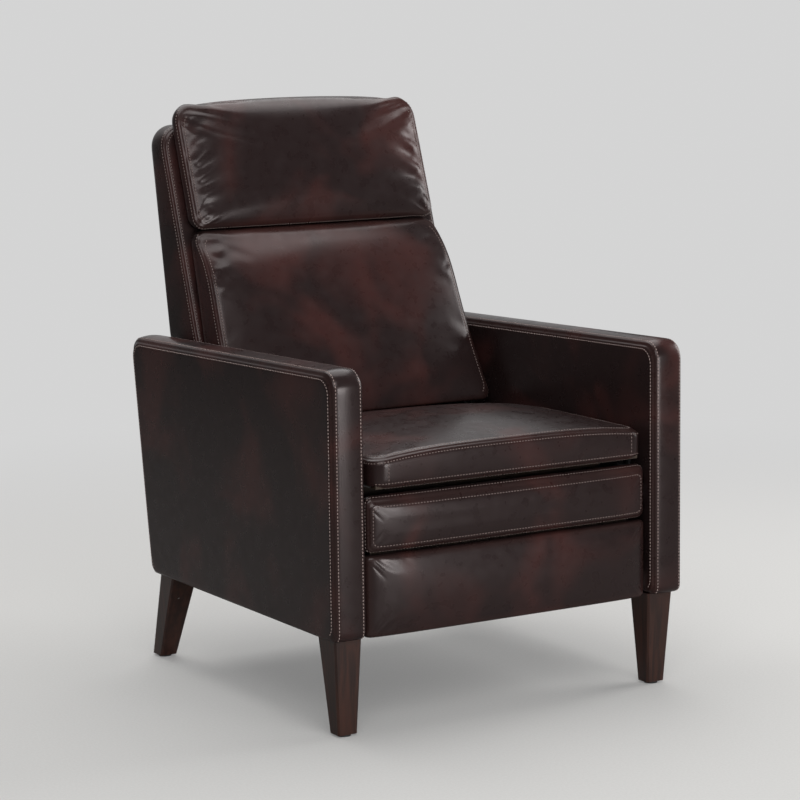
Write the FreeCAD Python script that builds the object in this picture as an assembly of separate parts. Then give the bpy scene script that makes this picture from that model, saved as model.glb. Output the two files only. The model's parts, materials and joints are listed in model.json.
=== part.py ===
import FreeCAD, Part
import math
import os

# Pushback recliner, millimetres, +Z up, the front towards -Y.
# Two upholstered arms on tapered legs are the base. The back swings on two
# pivots inside the arms, its brackets and two front hangers carry the seat,
# and a scissor linkage on the seat throws out the footrest.
# Lengths along Y are measured from the front face of the arms.

# Arms
OVERALL_WIDTH = 712.0
ARM_THICKNESS = 64.0
ARM_BOTTOM = 168.0
ARM_TOP_FRONT = 623.0
ARM_TOP_REAR = 606.0
ARM_DEPTH_LOW = 692.0
ARM_DEPTH_HIGH = 757.0
ARM_TOP_CROWN = 11.0
ARM_EDGE_CROWN = 5.0
ARM_NOSE_RADIUS = 46.0
ARM_HEEL_RADIUS = 22.0
ARM_FOOT_RADIUS = 14.0
ARM_PANEL = 8.0
ARM_BOXING = 10.0
ARM_CROWN_POWER = 5
ARM_CROWN_STATIONS = (0.0, 3.0, 11.0)

# Wooden frame inside each arm
FRAME_FRONT_POST = 60.0
FRAME_REAR_POST_Y = 540.0
FRAME_BOTTOM_RAIL = 72.0
FRAME_TOP_RAIL = 55.0
FRAME_MIDDLE_RAIL_LOW = 350.0
FRAME_MIDDLE_RAIL_HIGH = 430.0

# Legs
LEG_INSET = 10.0
LEG_EASED_EDGE = 3.0
FRONT_LEG_SETBACK = 20.0
FRONT_LEG_TOP_X = 52.0
FRONT_LEG_TOP_Y = 58.0
FRONT_LEG_FOOT_X = 37.0
FRONT_LEG_FOOT_Y = 30.0
FRONT_LEG_RAKE = 10.0
REAR_LEG_SETBACK = 22.0
REAR_LEG_TOP_X = 52.0
REAR_LEG_TOP_Y = 50.0
REAR_LEG_FOOT_X = 34.0
REAR_LEG_FOOT_Y = 34.0
REAR_LEG_RAKE = 78.0
LEG_TAPER_X = 10.0
GLIDE_RADIUS = 12.0
GLIDE_HEIGHT = 4.0
LEG_BOLT_RADIUS = 4.0
LEG_BOLT_DEPTH = 45.0
LEG_BOLT_GRIP = 40.0
BOLT_CLEARANCE = 0.15

# Rails between the arms
FRONT_RAIL_Y = 150.0
FRONT_RAIL_THICK = 22.0
FRONT_RAIL_LOW = 172.0
FRONT_RAIL_HIGH = 236.0
REAR_RAIL_Y = 640.0
REAR_RAIL_LOW = 175.0
REAR_RAIL_HIGH = 240.0
REAR_PANEL_THICK = 12.0
REAR_PANEL_LOW = 172.0
REAR_PANEL_HIGH = 336.0
REAR_PANEL_GAP = 2.0
BRACKET_THICK = 2.5
BRACKET_LEG = 40.0
BRACKET_LOW = 186.0
BRACKET_HIGH = 226.0

# Layers of steel, counted inwards from the inner faces of the arms
BASE_PLATE = 4.0
HANGER_GAP = 1.0
HANGER_THICK = 4.0
LINK_GAP = 5.0
STRIP_THICK = 3.0
STRIP_GAP = 1.5
SEAT_PLATE_THICK = 3.0
BACK_BRACKET_THICK = 4.0
LAYER_GAP = 0.3

# Pivots at rest
BACK_PIVOT_Y = 600.0
BACK_PIVOT_Z = 480.0
HANGER_PIVOT_Y = 180.0
HANGER_PIVOT_Z = 400.0
SWING_DROP = 140.0
RECLINE_ANGLE = 27
CRANK_PIVOT_Y = 110.0
CRANK_PIVOT_Z = 345.0
SCISSOR_BAR = 150.0
SCISSOR_ANGLE_REST = 83.0
SCISSOR_ANGLE_OPEN = 8.0
CRANK_ARM = 52.2
CRANK_ARM_LEAN = 30.0
BAR_WIDTH = 16.0
CRANK_ARM_WIDTH = 14.0
HANGER_WIDTH = 20.0
PIN_RADIUS = 4.0
SWING_PIN_RADIUS = 5.0
PIN_CLEARANCE = 0.1
SLOT_CLEARANCE = 0.25
RIVET_HEAD_RADIUS = 6.5
RIVET_HEAD = 2.5
SHOULDER_RADIUS = 8.0
TORQUE_TUBE_RADIUS = 8.0
TORQUE_TUBE_WALL = 1.5
PLATE_MARGIN = 12.0
PLATE_CORNER = 8.0
PLATE_BOLT_RADIUS = 3.0
PLATE_BOLT_HEAD = 6.0
PLATE_BOLT_HEAD_HEIGHT = 2.5
PLATE_BOLT_DEPTH = 30.0
HANGER_BOLT_AHEAD = 62.0
HANGER_BOLT_RISE = 2.0
HANGER_BOLT_BEHIND = 36.0
HANGER_BOLT_FALL = 12.0
PIVOT_BOLT_SPREAD = 22.0
PIVOT_BOLT_RISE = 26.0
PIVOT_BOLT_FALL = 32.0

# Seat
SEAT_RAIL_FRONT = 132.0
SEAT_RAIL_REAR = 575.0
SEAT_RAIL_THICK = 22.0
SEAT_RAIL_LOW = 374.0
SEAT_RAIL_HIGH = 424.0
SEAT_PLATE_TOP = 400.0
SEAT_PLATE_LOW = 300.0
SEAT_PLATE_TAIL = 24.0
SEAT_PLATE_SHOULDER = 24.0
NOSE_BOARD_FRONT = 16.0
NOSE_BOARD_THICK = 10.0
WEBBING_THICK = 2.0
WEBBING_WIDTH = 52.0
SEAT_WEBBING_COUNT = 6
SOFT_GAP = 0.3
SEAT_SIDE_GAP = 22.0
SEAT_SIDE_SWELL = 4.0
SEAT_FRONT = 8.0
SEAT_REAR = 566.0
SEAT_SEAM_FRONT = 466.0
SEAT_SEAM_REAR = 446.0
SEAT_CROWN_FRONT = 487.0
SEAT_CROWN_MIDDLE = 492.0
SEAT_CROWN_REAR = 456.0
SEAT_CROWN_SHARE = 0.6
SEAT_EDGE = 9.0
SEAT_STEPS = 6
SOFT_STEPS = 2

# Back
BACK_SIDE_GAP = 14.0
BACK_BOTTOM = 356.0
BACK_TOP = 988.0
BACK_FRONT_REF_Y = 637.0
BACK_FRONT_REF_Z = 610.0
BACK_FRONT_LEAN = 18.4
BACK_REAR_REF_Y = 749.0
BACK_REAR_REF_Z = 605.0
BACK_TOP_THICK = 52.4
BACK_KNEE_Z = 476.0
BACK_CORNER_RADIUS = 42.0
BACK_EDGE_RADIUS = 18.0
BACK_SKIN = 8.0
BACK_BORDER = 30.0
BACK_SIDE_LOW = 596.0
BACK_STILE = 30.0
BACK_RAIL_THICK = 22.0
BACK_TOP_RAIL_DROP = 33.0
BACK_TOP_RAIL_DEEP = 50.0
BACK_MIDDLE_RAIL_LOW = 665.0
BACK_MIDDLE_RAIL_HIGH = 705.0
BACK_BOTTOM_RAIL_LOW = 490.0
BACK_BOTTOM_RAIL_HIGH = 530.0
BACK_WEBBING_LOWS = (560.0, 730.0, 800.0, 850.0)
BACK_BRACKET_TOP_Y = 652.0
BACK_BRACKET_TOP_Z = 578.0
BACK_BRACKET_WIDTH = 32.0

# Back cushions
LUMBAR_SIDE_GAP = 14.0
LUMBAR_LOW_FRONT_Y = 492.0
LUMBAR_LOW_FRONT_Z = 474.0
LUMBAR_LOW_REAR_Z = 468.0
LUMBAR_TOP_FRONT_Y = 657.0
LUMBAR_TOP_FRONT_Z = 776.0
LUMBAR_TOP_REAR_Z = 786.0
LUMBAR_CROWN = 26.0
PILLOW_SIDE_GAP = 25.0
PILLOW_LOW_REAR_Z = 802.0
PILLOW_LOW_FRONT_Y = 664.0
PILLOW_LOW_FRONT_Z = 806.0
PILLOW_TOP_FRONT_Y = 738.0
PILLOW_TOP_FRONT_Z = 1018.0
PILLOW_TOP_REAR_Z = 1006.0
PILLOW_CROWN = 30.0
PILLOW_TOP_SWELL = 16.0
CUSHION_SWELL = 6.0
CUSHION_SHOULDER = 26.0
CUSHION_DRAW_IN = 12.0
CUSHION_END_CROWN = 0.25
CROWN_STEPS = 2

# Footrest
BOARD_FRONT = 45.0
BOARD_THICK = 12.0
BOARD_SIDE_GAP = 30.0
BOARD_LOW = 174.0
BOARD_HIGH = 388.0
FOOT_FLANGE_THICK = 3.0
FOOT_FLANGE_WIDTH = 28.0
FOOT_FLANGE_LOW = 214.0
FOOT_FLANGE_HIGH = 330.0
PAD_SEAM_Y = 10.0
PAD_CROWN = 9.0
PAD_EDGE = 8.0
PAD_SHOULDER = 14.0
PAD_SWELL = 3.0
UPPER_PAD_TOP_SWELL = 9.0
UPPER_PAD_LOW = 312.0
UPPER_PAD_HIGH = 394.0
UPPER_PAD_SIDE_GAP = 12.0
LOWER_PAD_LOW = 166.0
LOWER_PAD_HIGH = 303.0
LOWER_PAD_SIDE_GAP = 6.0

SIDES = {"left": -1, "right": 1}
HALF_WIDTH = OVERALL_WIDTH / 2
ARM_INNER = HALF_WIDTH - ARM_THICKNESS
BASE_PLATE_INNER = ARM_INNER - BASE_PLATE
HANGER_OUTER = BASE_PLATE_INNER - HANGER_GAP
HANGER_INNER = HANGER_OUTER - HANGER_THICK
LINK_INNER = HANGER_INNER - LINK_GAP - STRIP_THICK
CRANK_INNER = LINK_INNER - STRIP_GAP - STRIP_THICK
SEAT_PLATE_INNER = CRANK_INNER - STRIP_GAP - SEAT_PLATE_THICK
SEAT_HALF_WIDTH = ARM_INNER - SEAT_SIDE_GAP
BACK_HALF_WIDTH = ARM_INNER - BACK_SIDE_GAP
BACK_BRACKET_INNER = BACK_HALF_WIDTH - BACK_SKIN
BACK_TOP_RAIL_HIGH = BACK_TOP - BACK_TOP_RAIL_DROP
BACK_TOP_RAIL_LOW = BACK_TOP_RAIL_HIGH - BACK_TOP_RAIL_DEEP
LUMBAR_HALF_WIDTH = BACK_HALF_WIDTH - LUMBAR_SIDE_GAP
PILLOW_HALF_WIDTH = BACK_HALF_WIDTH - PILLOW_SIDE_GAP
BOARD_HALF_WIDTH = ARM_INNER - BOARD_SIDE_GAP
UPPER_PAD_HALF_WIDTH = ARM_INNER - UPPER_PAD_SIDE_GAP
LOWER_PAD_HALF_WIDTH = ARM_INNER - LOWER_PAD_SIDE_GAP


def vec(x, y, z):
    return FreeCAD.Vector(x, y, z)


def line(a, b):
    return Part.LineSegment(a, b).toShape()


def arc(a, middle, b):
    return Part.Arc(a, middle, b).toShape()


def span(side, inner, outer):
    """Lower and upper x of a layer on one side of the chair."""
    return (inner, outer) if side > 0 else (-outer, -inner)


def block(x_span, y_span, z_span):
    corner = vec(x_span[0], y_span[0], z_span[0])
    return Part.makeBox(x_span[1] - x_span[0], y_span[1] - y_span[0], z_span[1] - z_span[0], corner)


def rod(place, radius, x_span):
    """Round bar along X through place, a (y, z) pair."""
    return Part.makeCylinder(radius, x_span[1] - x_span[0], vec(x_span[0], *place), vec(1, 0, 0))


def hexagon(place, radius, x_span):
    """Six-sided head along X about place."""
    turns = [math.radians(60 * step) for step in range(7)]
    corners = [vec(x_span[0], place[0] + radius * math.cos(a), place[1] + radius * math.sin(a)) for a in turns]
    return Part.Face(Part.makePolygon(corners)).extrude(vec(x_span[1] - x_span[0], 0, 0))


def outline(corners, x):
    """Closed wire in the plane x: straight runs joined by tangent arcs at (y, z, radius) corners."""
    points = [vec(x, y, z) for y, z, _ in corners]
    edges = []
    starts = []
    ends = []
    for i, (_, _, radius) in enumerate(corners):
        here = points[i]
        before = (points[i - 1] - here).normalize()
        after = (points[(i + 1) % len(points)] - here).normalize()
        half = before.getAngle(after) / 2
        reach = radius / math.tan(half)
        starts.append(here + before * reach)
        ends.append(here + after * reach)
        if radius:
            inward = (before + after).normalize()
            edges.append(arc(starts[i], here + inward * (radius / math.sin(half) - radius), ends[i]))
    for i in range(len(corners)):
        edges.append(line(ends[i], starts[(i + 1) % len(corners)]))
    return Part.Wire(Part.__sortEdges__(edges))


def prism(corners, x_span):
    return Part.Face(outline(corners, x_span[0])).extrude(vec(x_span[1] - x_span[0], 0, 0))


def sharp(*places):
    return [(y, z, 0.0) for y, z in places]


def bar(a, b, width, x_span):
    """Flat strip with round ends about two (y, z) places."""
    radius = width / 2
    run = vec(0, b[0] - a[0], b[1] - a[1])
    ahead = vec(*run).normalize() * radius
    aside = vec(0, -ahead.z, ahead.y)
    start = vec(x_span[0], *a)
    end = start + run
    edges = [
        line(start + aside, end + aside),
        arc(end + aside, end + ahead, end - aside),
        line(end - aside, start - aside),
        arc(start - aside, start - ahead, start + aside),
    ]
    return Part.Face(Part.Wire(edges)).extrude(vec(x_span[1] - x_span[0], 0, 0))


def union(shapes):
    return shapes[0].fuse(shapes[1:]).removeSplitter()


def back_front_y(z):
    """Front plane of the back at height z."""
    return BACK_FRONT_REF_Y + (z - BACK_FRONT_REF_Z) * math.tan(math.radians(BACK_FRONT_LEAN))


def back_rear_y(z):
    """Rear plane of the back, which the rear panel of the base continues downwards."""
    run = back_front_y(BACK_TOP) + BACK_TOP_THICK - BACK_REAR_REF_Y
    return BACK_REAR_REF_Y + (z - BACK_REAR_REF_Z) * run / (BACK_TOP - BACK_REAR_REF_Z)


CENTRE_Y = back_rear_y(BACK_TOP - BACK_EDGE_RADIUS) / 2

# Places of the linkage at rest, as (y, z)
BACK_PIVOT = (BACK_PIVOT_Y, BACK_PIVOT_Z)
SEAT_REAR_PIVOT = (BACK_PIVOT_Y, BACK_PIVOT_Z - SWING_DROP)
HANGER_PIVOT = (HANGER_PIVOT_Y, HANGER_PIVOT_Z)
SEAT_FRONT_PIVOT = (HANGER_PIVOT_Y, HANGER_PIVOT_Z - SWING_DROP)
CRANK_PIVOT = (CRANK_PIVOT_Y, CRANK_PIVOT_Z)
SCISSOR_REACH = SCISSOR_BAR * math.cos(math.radians(SCISSOR_ANGLE_REST))
SCISSOR_DROP = SCISSOR_BAR * math.sin(math.radians(SCISSOR_ANGLE_REST))
SCISSOR_DROP_OPEN = SCISSOR_BAR * math.sin(math.radians(SCISSOR_ANGLE_OPEN))
CRANK_END = (CRANK_PIVOT_Y - SCISSOR_REACH, CRANK_PIVOT_Z - SCISSOR_DROP)
SLIDE_PIN = (CRANK_PIVOT_Y, CRANK_PIVOT_Z - SCISSOR_DROP)
SLIDE_PIN_OPEN = (CRANK_PIVOT_Y, CRANK_PIVOT_Z - SCISSOR_DROP_OPEN)
SCISSOR_CROSS = (CRANK_PIVOT_Y - SCISSOR_REACH / 2, CRANK_PIVOT_Z - SCISSOR_DROP / 2)
FOOT_PIVOT = (CRANK_PIVOT_Y - SCISSOR_REACH, CRANK_PIVOT_Z)
STAY_PIVOT = (CRANK_PIVOT_Y - 1.5 * SCISSOR_REACH, CRANK_PIVOT_Z - SCISSOR_DROP / 2)


def crank_pin_at(angle):
    """Place of the crank's drive pin when the back has turned by angle: seat shift plus crank turn."""
    swing = math.radians(angle)
    gain = (SCISSOR_ANGLE_REST - SCISSOR_ANGLE_OPEN) / RECLINE_ANGLE
    turn = math.radians(angle * gain - CRANK_ARM_LEAN)
    y = CRANK_PIVOT_Y - SWING_DROP * math.sin(swing) + CRANK_ARM * math.sin(turn)
    z = CRANK_PIVOT_Z + SWING_DROP * (1 - math.cos(swing)) + CRANK_ARM * math.cos(turn)
    return y, z


CRANK_PIN = crank_pin_at(0)
CRANK_PIN_PATH = [crank_pin_at(angle) for angle in range(RECLINE_ANGLE + 1)]
HANGER_PLATE_BOLTS = (
    (HANGER_PIVOT_Y - HANGER_BOLT_AHEAD, HANGER_PIVOT_Z + HANGER_BOLT_RISE),
    (HANGER_PIVOT_Y + HANGER_BOLT_BEHIND, HANGER_PIVOT_Z - HANGER_BOLT_FALL),
)
PIVOT_PLATE_BOLTS = (
    (BACK_PIVOT_Y - PIVOT_BOLT_SPREAD, BACK_PIVOT_Z + PIVOT_BOLT_RISE),
    (BACK_PIVOT_Y + PIVOT_BOLT_SPREAD, BACK_PIVOT_Z + PIVOT_BOLT_RISE),
    (BACK_PIVOT_Y, BACK_PIVOT_Z - PIVOT_BOLT_FALL),
)


# Arms

def arm_outline(x, ease):
    """Side outline of an arm, drawn in from its crown by ease."""
    edge = ease * ARM_EDGE_CROWN
    drop = ease * ARM_TOP_CROWN
    return outline([
        (edge, ARM_BOTTOM, ARM_FOOT_RADIUS),
        (ARM_DEPTH_LOW - edge, ARM_BOTTOM, ARM_FOOT_RADIUS),
        (ARM_DEPTH_HIGH - edge, ARM_TOP_REAR - drop, ARM_HEEL_RADIUS),
        (edge, ARM_TOP_FRONT - drop, ARM_NOSE_RADIUS),
    ], x)


def arm_form(side):
    """Whole arm: fullest in the middle of its thickness, falling away to both faces."""
    half = ARM_THICKNESS / 2
    depths = list(ARM_CROWN_STATIONS) + [half]
    depths += [ARM_THICKNESS - depth for depth in reversed(ARM_CROWN_STATIONS)]
    sections = []
    for depth in depths:
        ease = (1 - min(depth, ARM_THICKNESS - depth) / half) ** ARM_CROWN_POWER
        sections.append(arm_outline(side * (ARM_INNER + depth), ease))
    return Part.makeLoft(sections, True, True)


def arm_slice(form, side, inner, outer):
    cutter = block(span(side, inner, outer), (-ARM_THICKNESS, 2 * ARM_DEPTH_HIGH), (0, 2 * ARM_TOP_FRONT))
    return form.common(cutter)


def frame_corners():
    edge = ARM_EDGE_CROWN + ARM_BOXING
    slant = (ARM_DEPTH_HIGH - ARM_DEPTH_LOW) / (ARM_TOP_REAR - ARM_BOTTOM)
    low = ARM_BOTTOM + ARM_BOXING
    rear_top = ARM_TOP_REAR - ARM_TOP_CROWN - ARM_BOXING
    return sharp(
        (edge, low),
        (ARM_DEPTH_LOW - edge + slant * ARM_BOXING, low),
        (ARM_DEPTH_LOW - edge + slant * (rear_top - ARM_BOTTOM), rear_top),
        (edge, ARM_TOP_FRONT - ARM_TOP_CROWN - ARM_BOXING),
    )


def frame_windows():
    front = ARM_EDGE_CROWN + ARM_BOXING + FRAME_FRONT_POST
    low = ARM_BOTTOM + ARM_BOXING + FRAME_BOTTOM_RAIL
    high = ARM_TOP_REAR - ARM_TOP_CROWN - ARM_BOXING - FRAME_TOP_RAIL
    layer = (-HALF_WIDTH, HALF_WIDTH)
    return [
        block(layer, (front, FRAME_REAR_POST_Y), (low, FRAME_MIDDLE_RAIL_LOW)),
        block(layer, (front, FRAME_REAR_POST_Y), (FRAME_MIDDLE_RAIL_HIGH, high)),
    ]


def plate_bolt_shafts(side, radius):
    layer = span(side, BASE_PLATE_INNER - PLATE_BOLT_HEAD_HEIGHT, BASE_PLATE_INNER + PLATE_BOLT_DEPTH)
    return [rod(place, radius, layer) for place in HANGER_PLATE_BOLTS + PIVOT_PLATE_BOLTS]


def leg_bolt_places(side):
    x = side * (HALF_WIDTH - ARM_THICKNESS / 2)
    front = FRONT_LEG_SETBACK + FRONT_LEG_TOP_Y / 2
    rear = ARM_DEPTH_LOW - REAR_LEG_SETBACK - REAR_LEG_TOP_Y / 2
    return [(x, front), (x, rear)]


def leg_bolts(side, radius):
    start = ARM_BOTTOM - LEG_BOLT_DEPTH
    height = LEG_BOLT_DEPTH + ARM_BOXING + LEG_BOLT_GRIP
    return [Part.makeCylinder(radius, height, vec(x, y, start)) for x, y in leg_bolt_places(side)]


def arm_parts(name, side):
    form = arm_form(side)
    core = span(side, ARM_INNER + ARM_PANEL, HALF_WIDTH - ARM_PANEL)
    bolt_bores = plate_bolt_shafts(side, PLATE_BOLT_RADIUS + BOLT_CLEARANCE)
    leg_bores = leg_bolts(side, LEG_BOLT_RADIUS + BOLT_CLEARANCE)
    solid_frame = prism(frame_corners(), core)
    boxing = arm_slice(form, side, ARM_INNER + ARM_PANEL, HALF_WIDTH - ARM_PANEL)
    inner = arm_slice(form, side, ARM_INNER, ARM_INNER + ARM_PANEL)
    return {
        "arm_frame_" + name: solid_frame.cut(frame_windows() + bolt_bores + leg_bores),
        "arm_boxing_" + name: boxing.cut([solid_frame] + leg_bores),
        "arm_inner_panel_" + name: inner.cut(bolt_bores),
        "arm_outer_panel_" + name: arm_slice(form, side, HALF_WIDTH - ARM_PANEL, HALF_WIDTH),
    }


# Legs

def foot_print(x_span, y_span, z):
    """Rectangle of a leg at height z, with its corners eased flat."""
    e = LEG_EASED_EDGE
    x0, x1 = x_span
    y0, y1 = y_span
    places = ((x0 + e, y0), (x1 - e, y0), (x1, y0 + e), (x1, y1 - e),
              (x1 - e, y1), (x0 + e, y1), (x0, y1 - e), (x0, y0 + e))
    corners = [vec(x, y, z) for x, y in places]
    return Part.makePolygon(corners + corners[:1])


def tapered_leg(side, top_size, foot_size, top_y, foot_y):
    outer = HALF_WIDTH - LEG_INSET
    foot_outer = outer - LEG_TAPER_X
    top = foot_print(span(side, outer - top_size[0], outer), (top_y, top_y + top_size[1]), ARM_BOTTOM)
    foot_x = span(side, foot_outer - foot_size[0], foot_outer)
    foot = foot_print(foot_x, (foot_y, foot_y + foot_size[1]), GLIDE_HEIGHT)
    return Part.makeLoft([foot, top], True, True)


def leg_parts(name, side):
    bores = leg_bolts(side, LEG_BOLT_RADIUS + BOLT_CLEARANCE)
    front = tapered_leg(
        side,
        (FRONT_LEG_TOP_X, FRONT_LEG_TOP_Y),
        (FRONT_LEG_FOOT_X, FRONT_LEG_FOOT_Y),
        FRONT_LEG_SETBACK,
        FRONT_LEG_SETBACK + FRONT_LEG_RAKE,
    )
    rear_top = ARM_DEPTH_LOW - REAR_LEG_SETBACK - REAR_LEG_TOP_Y
    rear = tapered_leg(
        side,
        (REAR_LEG_TOP_X, REAR_LEG_TOP_Y),
        (REAR_LEG_FOOT_X, REAR_LEG_FOOT_Y),
        rear_top,
        rear_top + REAR_LEG_RAKE,
    )
    return {
        "front_leg_" + name: front.cut(bores),
        "rear_leg_" + name: rear.cut(bores),
    }


def glides():
    rear_y = ARM_DEPTH_LOW - REAR_LEG_SETBACK - REAR_LEG_TOP_Y + REAR_LEG_RAKE + REAR_LEG_FOOT_Y / 2
    front_y = FRONT_LEG_SETBACK + FRONT_LEG_RAKE + FRONT_LEG_FOOT_Y / 2
    solids = []
    for side in SIDES.values():
        outer = HALF_WIDTH - LEG_INSET - LEG_TAPER_X
        for foot_x, y in ((FRONT_LEG_FOOT_X, front_y), (REAR_LEG_FOOT_X, rear_y)):
            middle = vec(side * (outer - foot_x / 2), y, 0)
            solids.append(Part.makeCylinder(GLIDE_RADIUS, GLIDE_HEIGHT, middle))
    return Part.makeCompound(solids)


# Rails and plates of the base

def rear_rail():
    face = REAR_PANEL_THICK
    return prism(sharp(
        (REAR_RAIL_Y, REAR_RAIL_LOW),
        (back_rear_y(REAR_RAIL_LOW) - face, REAR_RAIL_LOW),
        (back_rear_y(REAR_RAIL_HIGH) - face, REAR_RAIL_HIGH),
        (REAR_RAIL_Y, REAR_RAIL_HIGH),
    ), (-ARM_INNER, ARM_INNER))


def rear_panel():
    half = ARM_INNER - REAR_PANEL_GAP
    return prism(sharp(
        (back_rear_y(REAR_PANEL_LOW) - REAR_PANEL_THICK, REAR_PANEL_LOW),
        (back_rear_y(REAR_PANEL_LOW), REAR_PANEL_LOW),
        (back_rear_y(REAR_PANEL_HIGH), REAR_PANEL_HIGH),
        (back_rear_y(REAR_PANEL_HIGH) - REAR_PANEL_THICK, REAR_PANEL_HIGH),
    ), (-half, half))


def front_rail():
    y_span = (FRONT_RAIL_Y, FRONT_RAIL_Y + FRONT_RAIL_THICK)
    return block((-ARM_INNER, ARM_INNER), y_span, (FRONT_RAIL_LOW, FRONT_RAIL_HIGH))


def corner_bracket(side, face_y, turn):
    """Bent steel angle from a rail face at face_y to the arm beside it."""
    height = (BRACKET_LOW, BRACKET_HIGH)
    near = sorted((face_y, face_y + turn * BRACKET_THICK))
    far = sorted((face_y, face_y + turn * BRACKET_LEG))
    on_rail = block(span(side, ARM_INNER - BRACKET_LEG, ARM_INNER), near, height)
    on_arm = block(span(side, ARM_INNER - BRACKET_THICK, ARM_INNER), far, height)
    return union([on_rail, on_arm])


def corner_brackets():
    solids = []
    for side in SIDES.values():
        solids.append(corner_bracket(side, FRONT_RAIL_Y + FRONT_RAIL_THICK, 1))
        solids.append(corner_bracket(side, REAR_RAIL_Y, -1))
    return Part.makeCompound(solids)


def hanger_plate(side):
    """Plate on the arm with the hanger pivot and the upright slot that turns the crank."""
    layer = span(side, BASE_PLATE_INNER, ARM_INNER)
    path_y = [y for y, _ in CRANK_PIN_PATH]
    path_z = [z for _, z in CRANK_PIN_PATH]
    slot_y = (min(path_y) + max(path_y)) / 2
    slot_ends = ((slot_y, min(path_z)), (slot_y, max(path_z)))
    places = slot_ends + (HANGER_PIVOT,) + HANGER_PLATE_BOLTS
    low_y = min(y for y, _ in places) - PLATE_MARGIN
    high_y = max(y for y, _ in places) + PLATE_MARGIN
    low_z = min(z for _, z in places) - PLATE_MARGIN
    high_z = max(z for _, z in places) + PLATE_MARGIN
    plate = prism([
        (low_y, low_z, PLATE_CORNER),
        (high_y, low_z, PLATE_CORNER),
        (high_y, high_z, PLATE_CORNER),
        (low_y, high_z, PLATE_CORNER),
    ], layer)
    slot_width = 2 * (PIN_RADIUS + SLOT_CLEARANCE) + max(path_y) - min(path_y)
    slot = bar(*slot_ends, slot_width, layer)
    bore = rod(HANGER_PIVOT, SWING_PIN_RADIUS + PIN_CLEARANCE, layer)
    return plate.cut([slot, bore] + plate_bolt_shafts(side, PLATE_BOLT_RADIUS + BOLT_CLEARANCE))


def pivot_plate(side):
    """Plate on the arm that holds the back's pivot pin."""
    layer = span(side, BASE_PLATE_INNER, ARM_INNER)
    places = (BACK_PIVOT,) + PIVOT_PLATE_BOLTS
    low_y = min(y for y, _ in places) - PLATE_MARGIN
    high_y = max(y for y, _ in places) + PLATE_MARGIN
    low_z = min(z for _, z in places) - PLATE_MARGIN
    high_z = max(z for _, z in places) + PLATE_MARGIN
    plate = prism([
        (BACK_PIVOT_Y - PLATE_MARGIN, low_z, PLATE_CORNER),
        (BACK_PIVOT_Y + PLATE_MARGIN, low_z, PLATE_CORNER),
        (high_y, BACK_PIVOT_Z, PLATE_CORNER),
        (high_y, high_z, PLATE_CORNER),
        (low_y, high_z, PLATE_CORNER),
        (low_y, BACK_PIVOT_Z, PLATE_CORNER),
    ], layer)
    bore = rod(BACK_PIVOT, SWING_PIN_RADIUS + PIN_CLEARANCE, layer)
    return plate.cut([bore] + plate_bolt_shafts(side, PLATE_BOLT_RADIUS + BOLT_CLEARANCE))


def plate_bolts():
    solids = []
    for side in SIDES.values():
        head = span(side, BASE_PLATE_INNER - PLATE_BOLT_HEAD_HEIGHT, BASE_PLATE_INNER)
        shafts = plate_bolt_shafts(side, PLATE_BOLT_RADIUS)
        for place, shaft in zip(HANGER_PLATE_BOLTS + PIVOT_PLATE_BOLTS, shafts):
            solids.append(union([hexagon(place, PLATE_BOLT_HEAD, head), shaft]))
    return Part.makeCompound(solids)


def base_pivot_pins():
    """Shouldered pins of the back and of the front hangers, held in the plates on the arms."""
    solids = []
    for side in SIDES.values():
        shoulder = span(side, BACK_BRACKET_INNER + BACK_BRACKET_THICK + LAYER_GAP, BASE_PLATE_INNER)
        stem = span(side, BACK_BRACKET_INNER + LAYER_GAP, ARM_INNER)
        solids.append(union([
            rod(BACK_PIVOT, SHOULDER_RADIUS, shoulder),
            rod(BACK_PIVOT, SWING_PIN_RADIUS, stem),
        ]))
        head = span(side, HANGER_INNER - LAYER_GAP - RIVET_HEAD, HANGER_INNER - LAYER_GAP)
        stem = span(side, HANGER_INNER - LAYER_GAP, ARM_INNER)
        solids.append(union([
            rod(HANGER_PIVOT, SHOULDER_RADIUS, head),
            rod(HANGER_PIVOT, SWING_PIN_RADIUS, stem),
        ]))
    return Part.makeCompound(solids)


def front_hanger(side):
    layer = span(side, HANGER_INNER, HANGER_OUTER)
    strip = bar(HANGER_PIVOT, SEAT_FRONT_PIVOT, HANGER_WIDTH, layer)
    bores = [rod(place, SWING_PIN_RADIUS + PIN_CLEARANCE, layer) for place in (HANGER_PIVOT, SEAT_FRONT_PIVOT)]
    return strip.cut(bores)


# Seat

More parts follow.
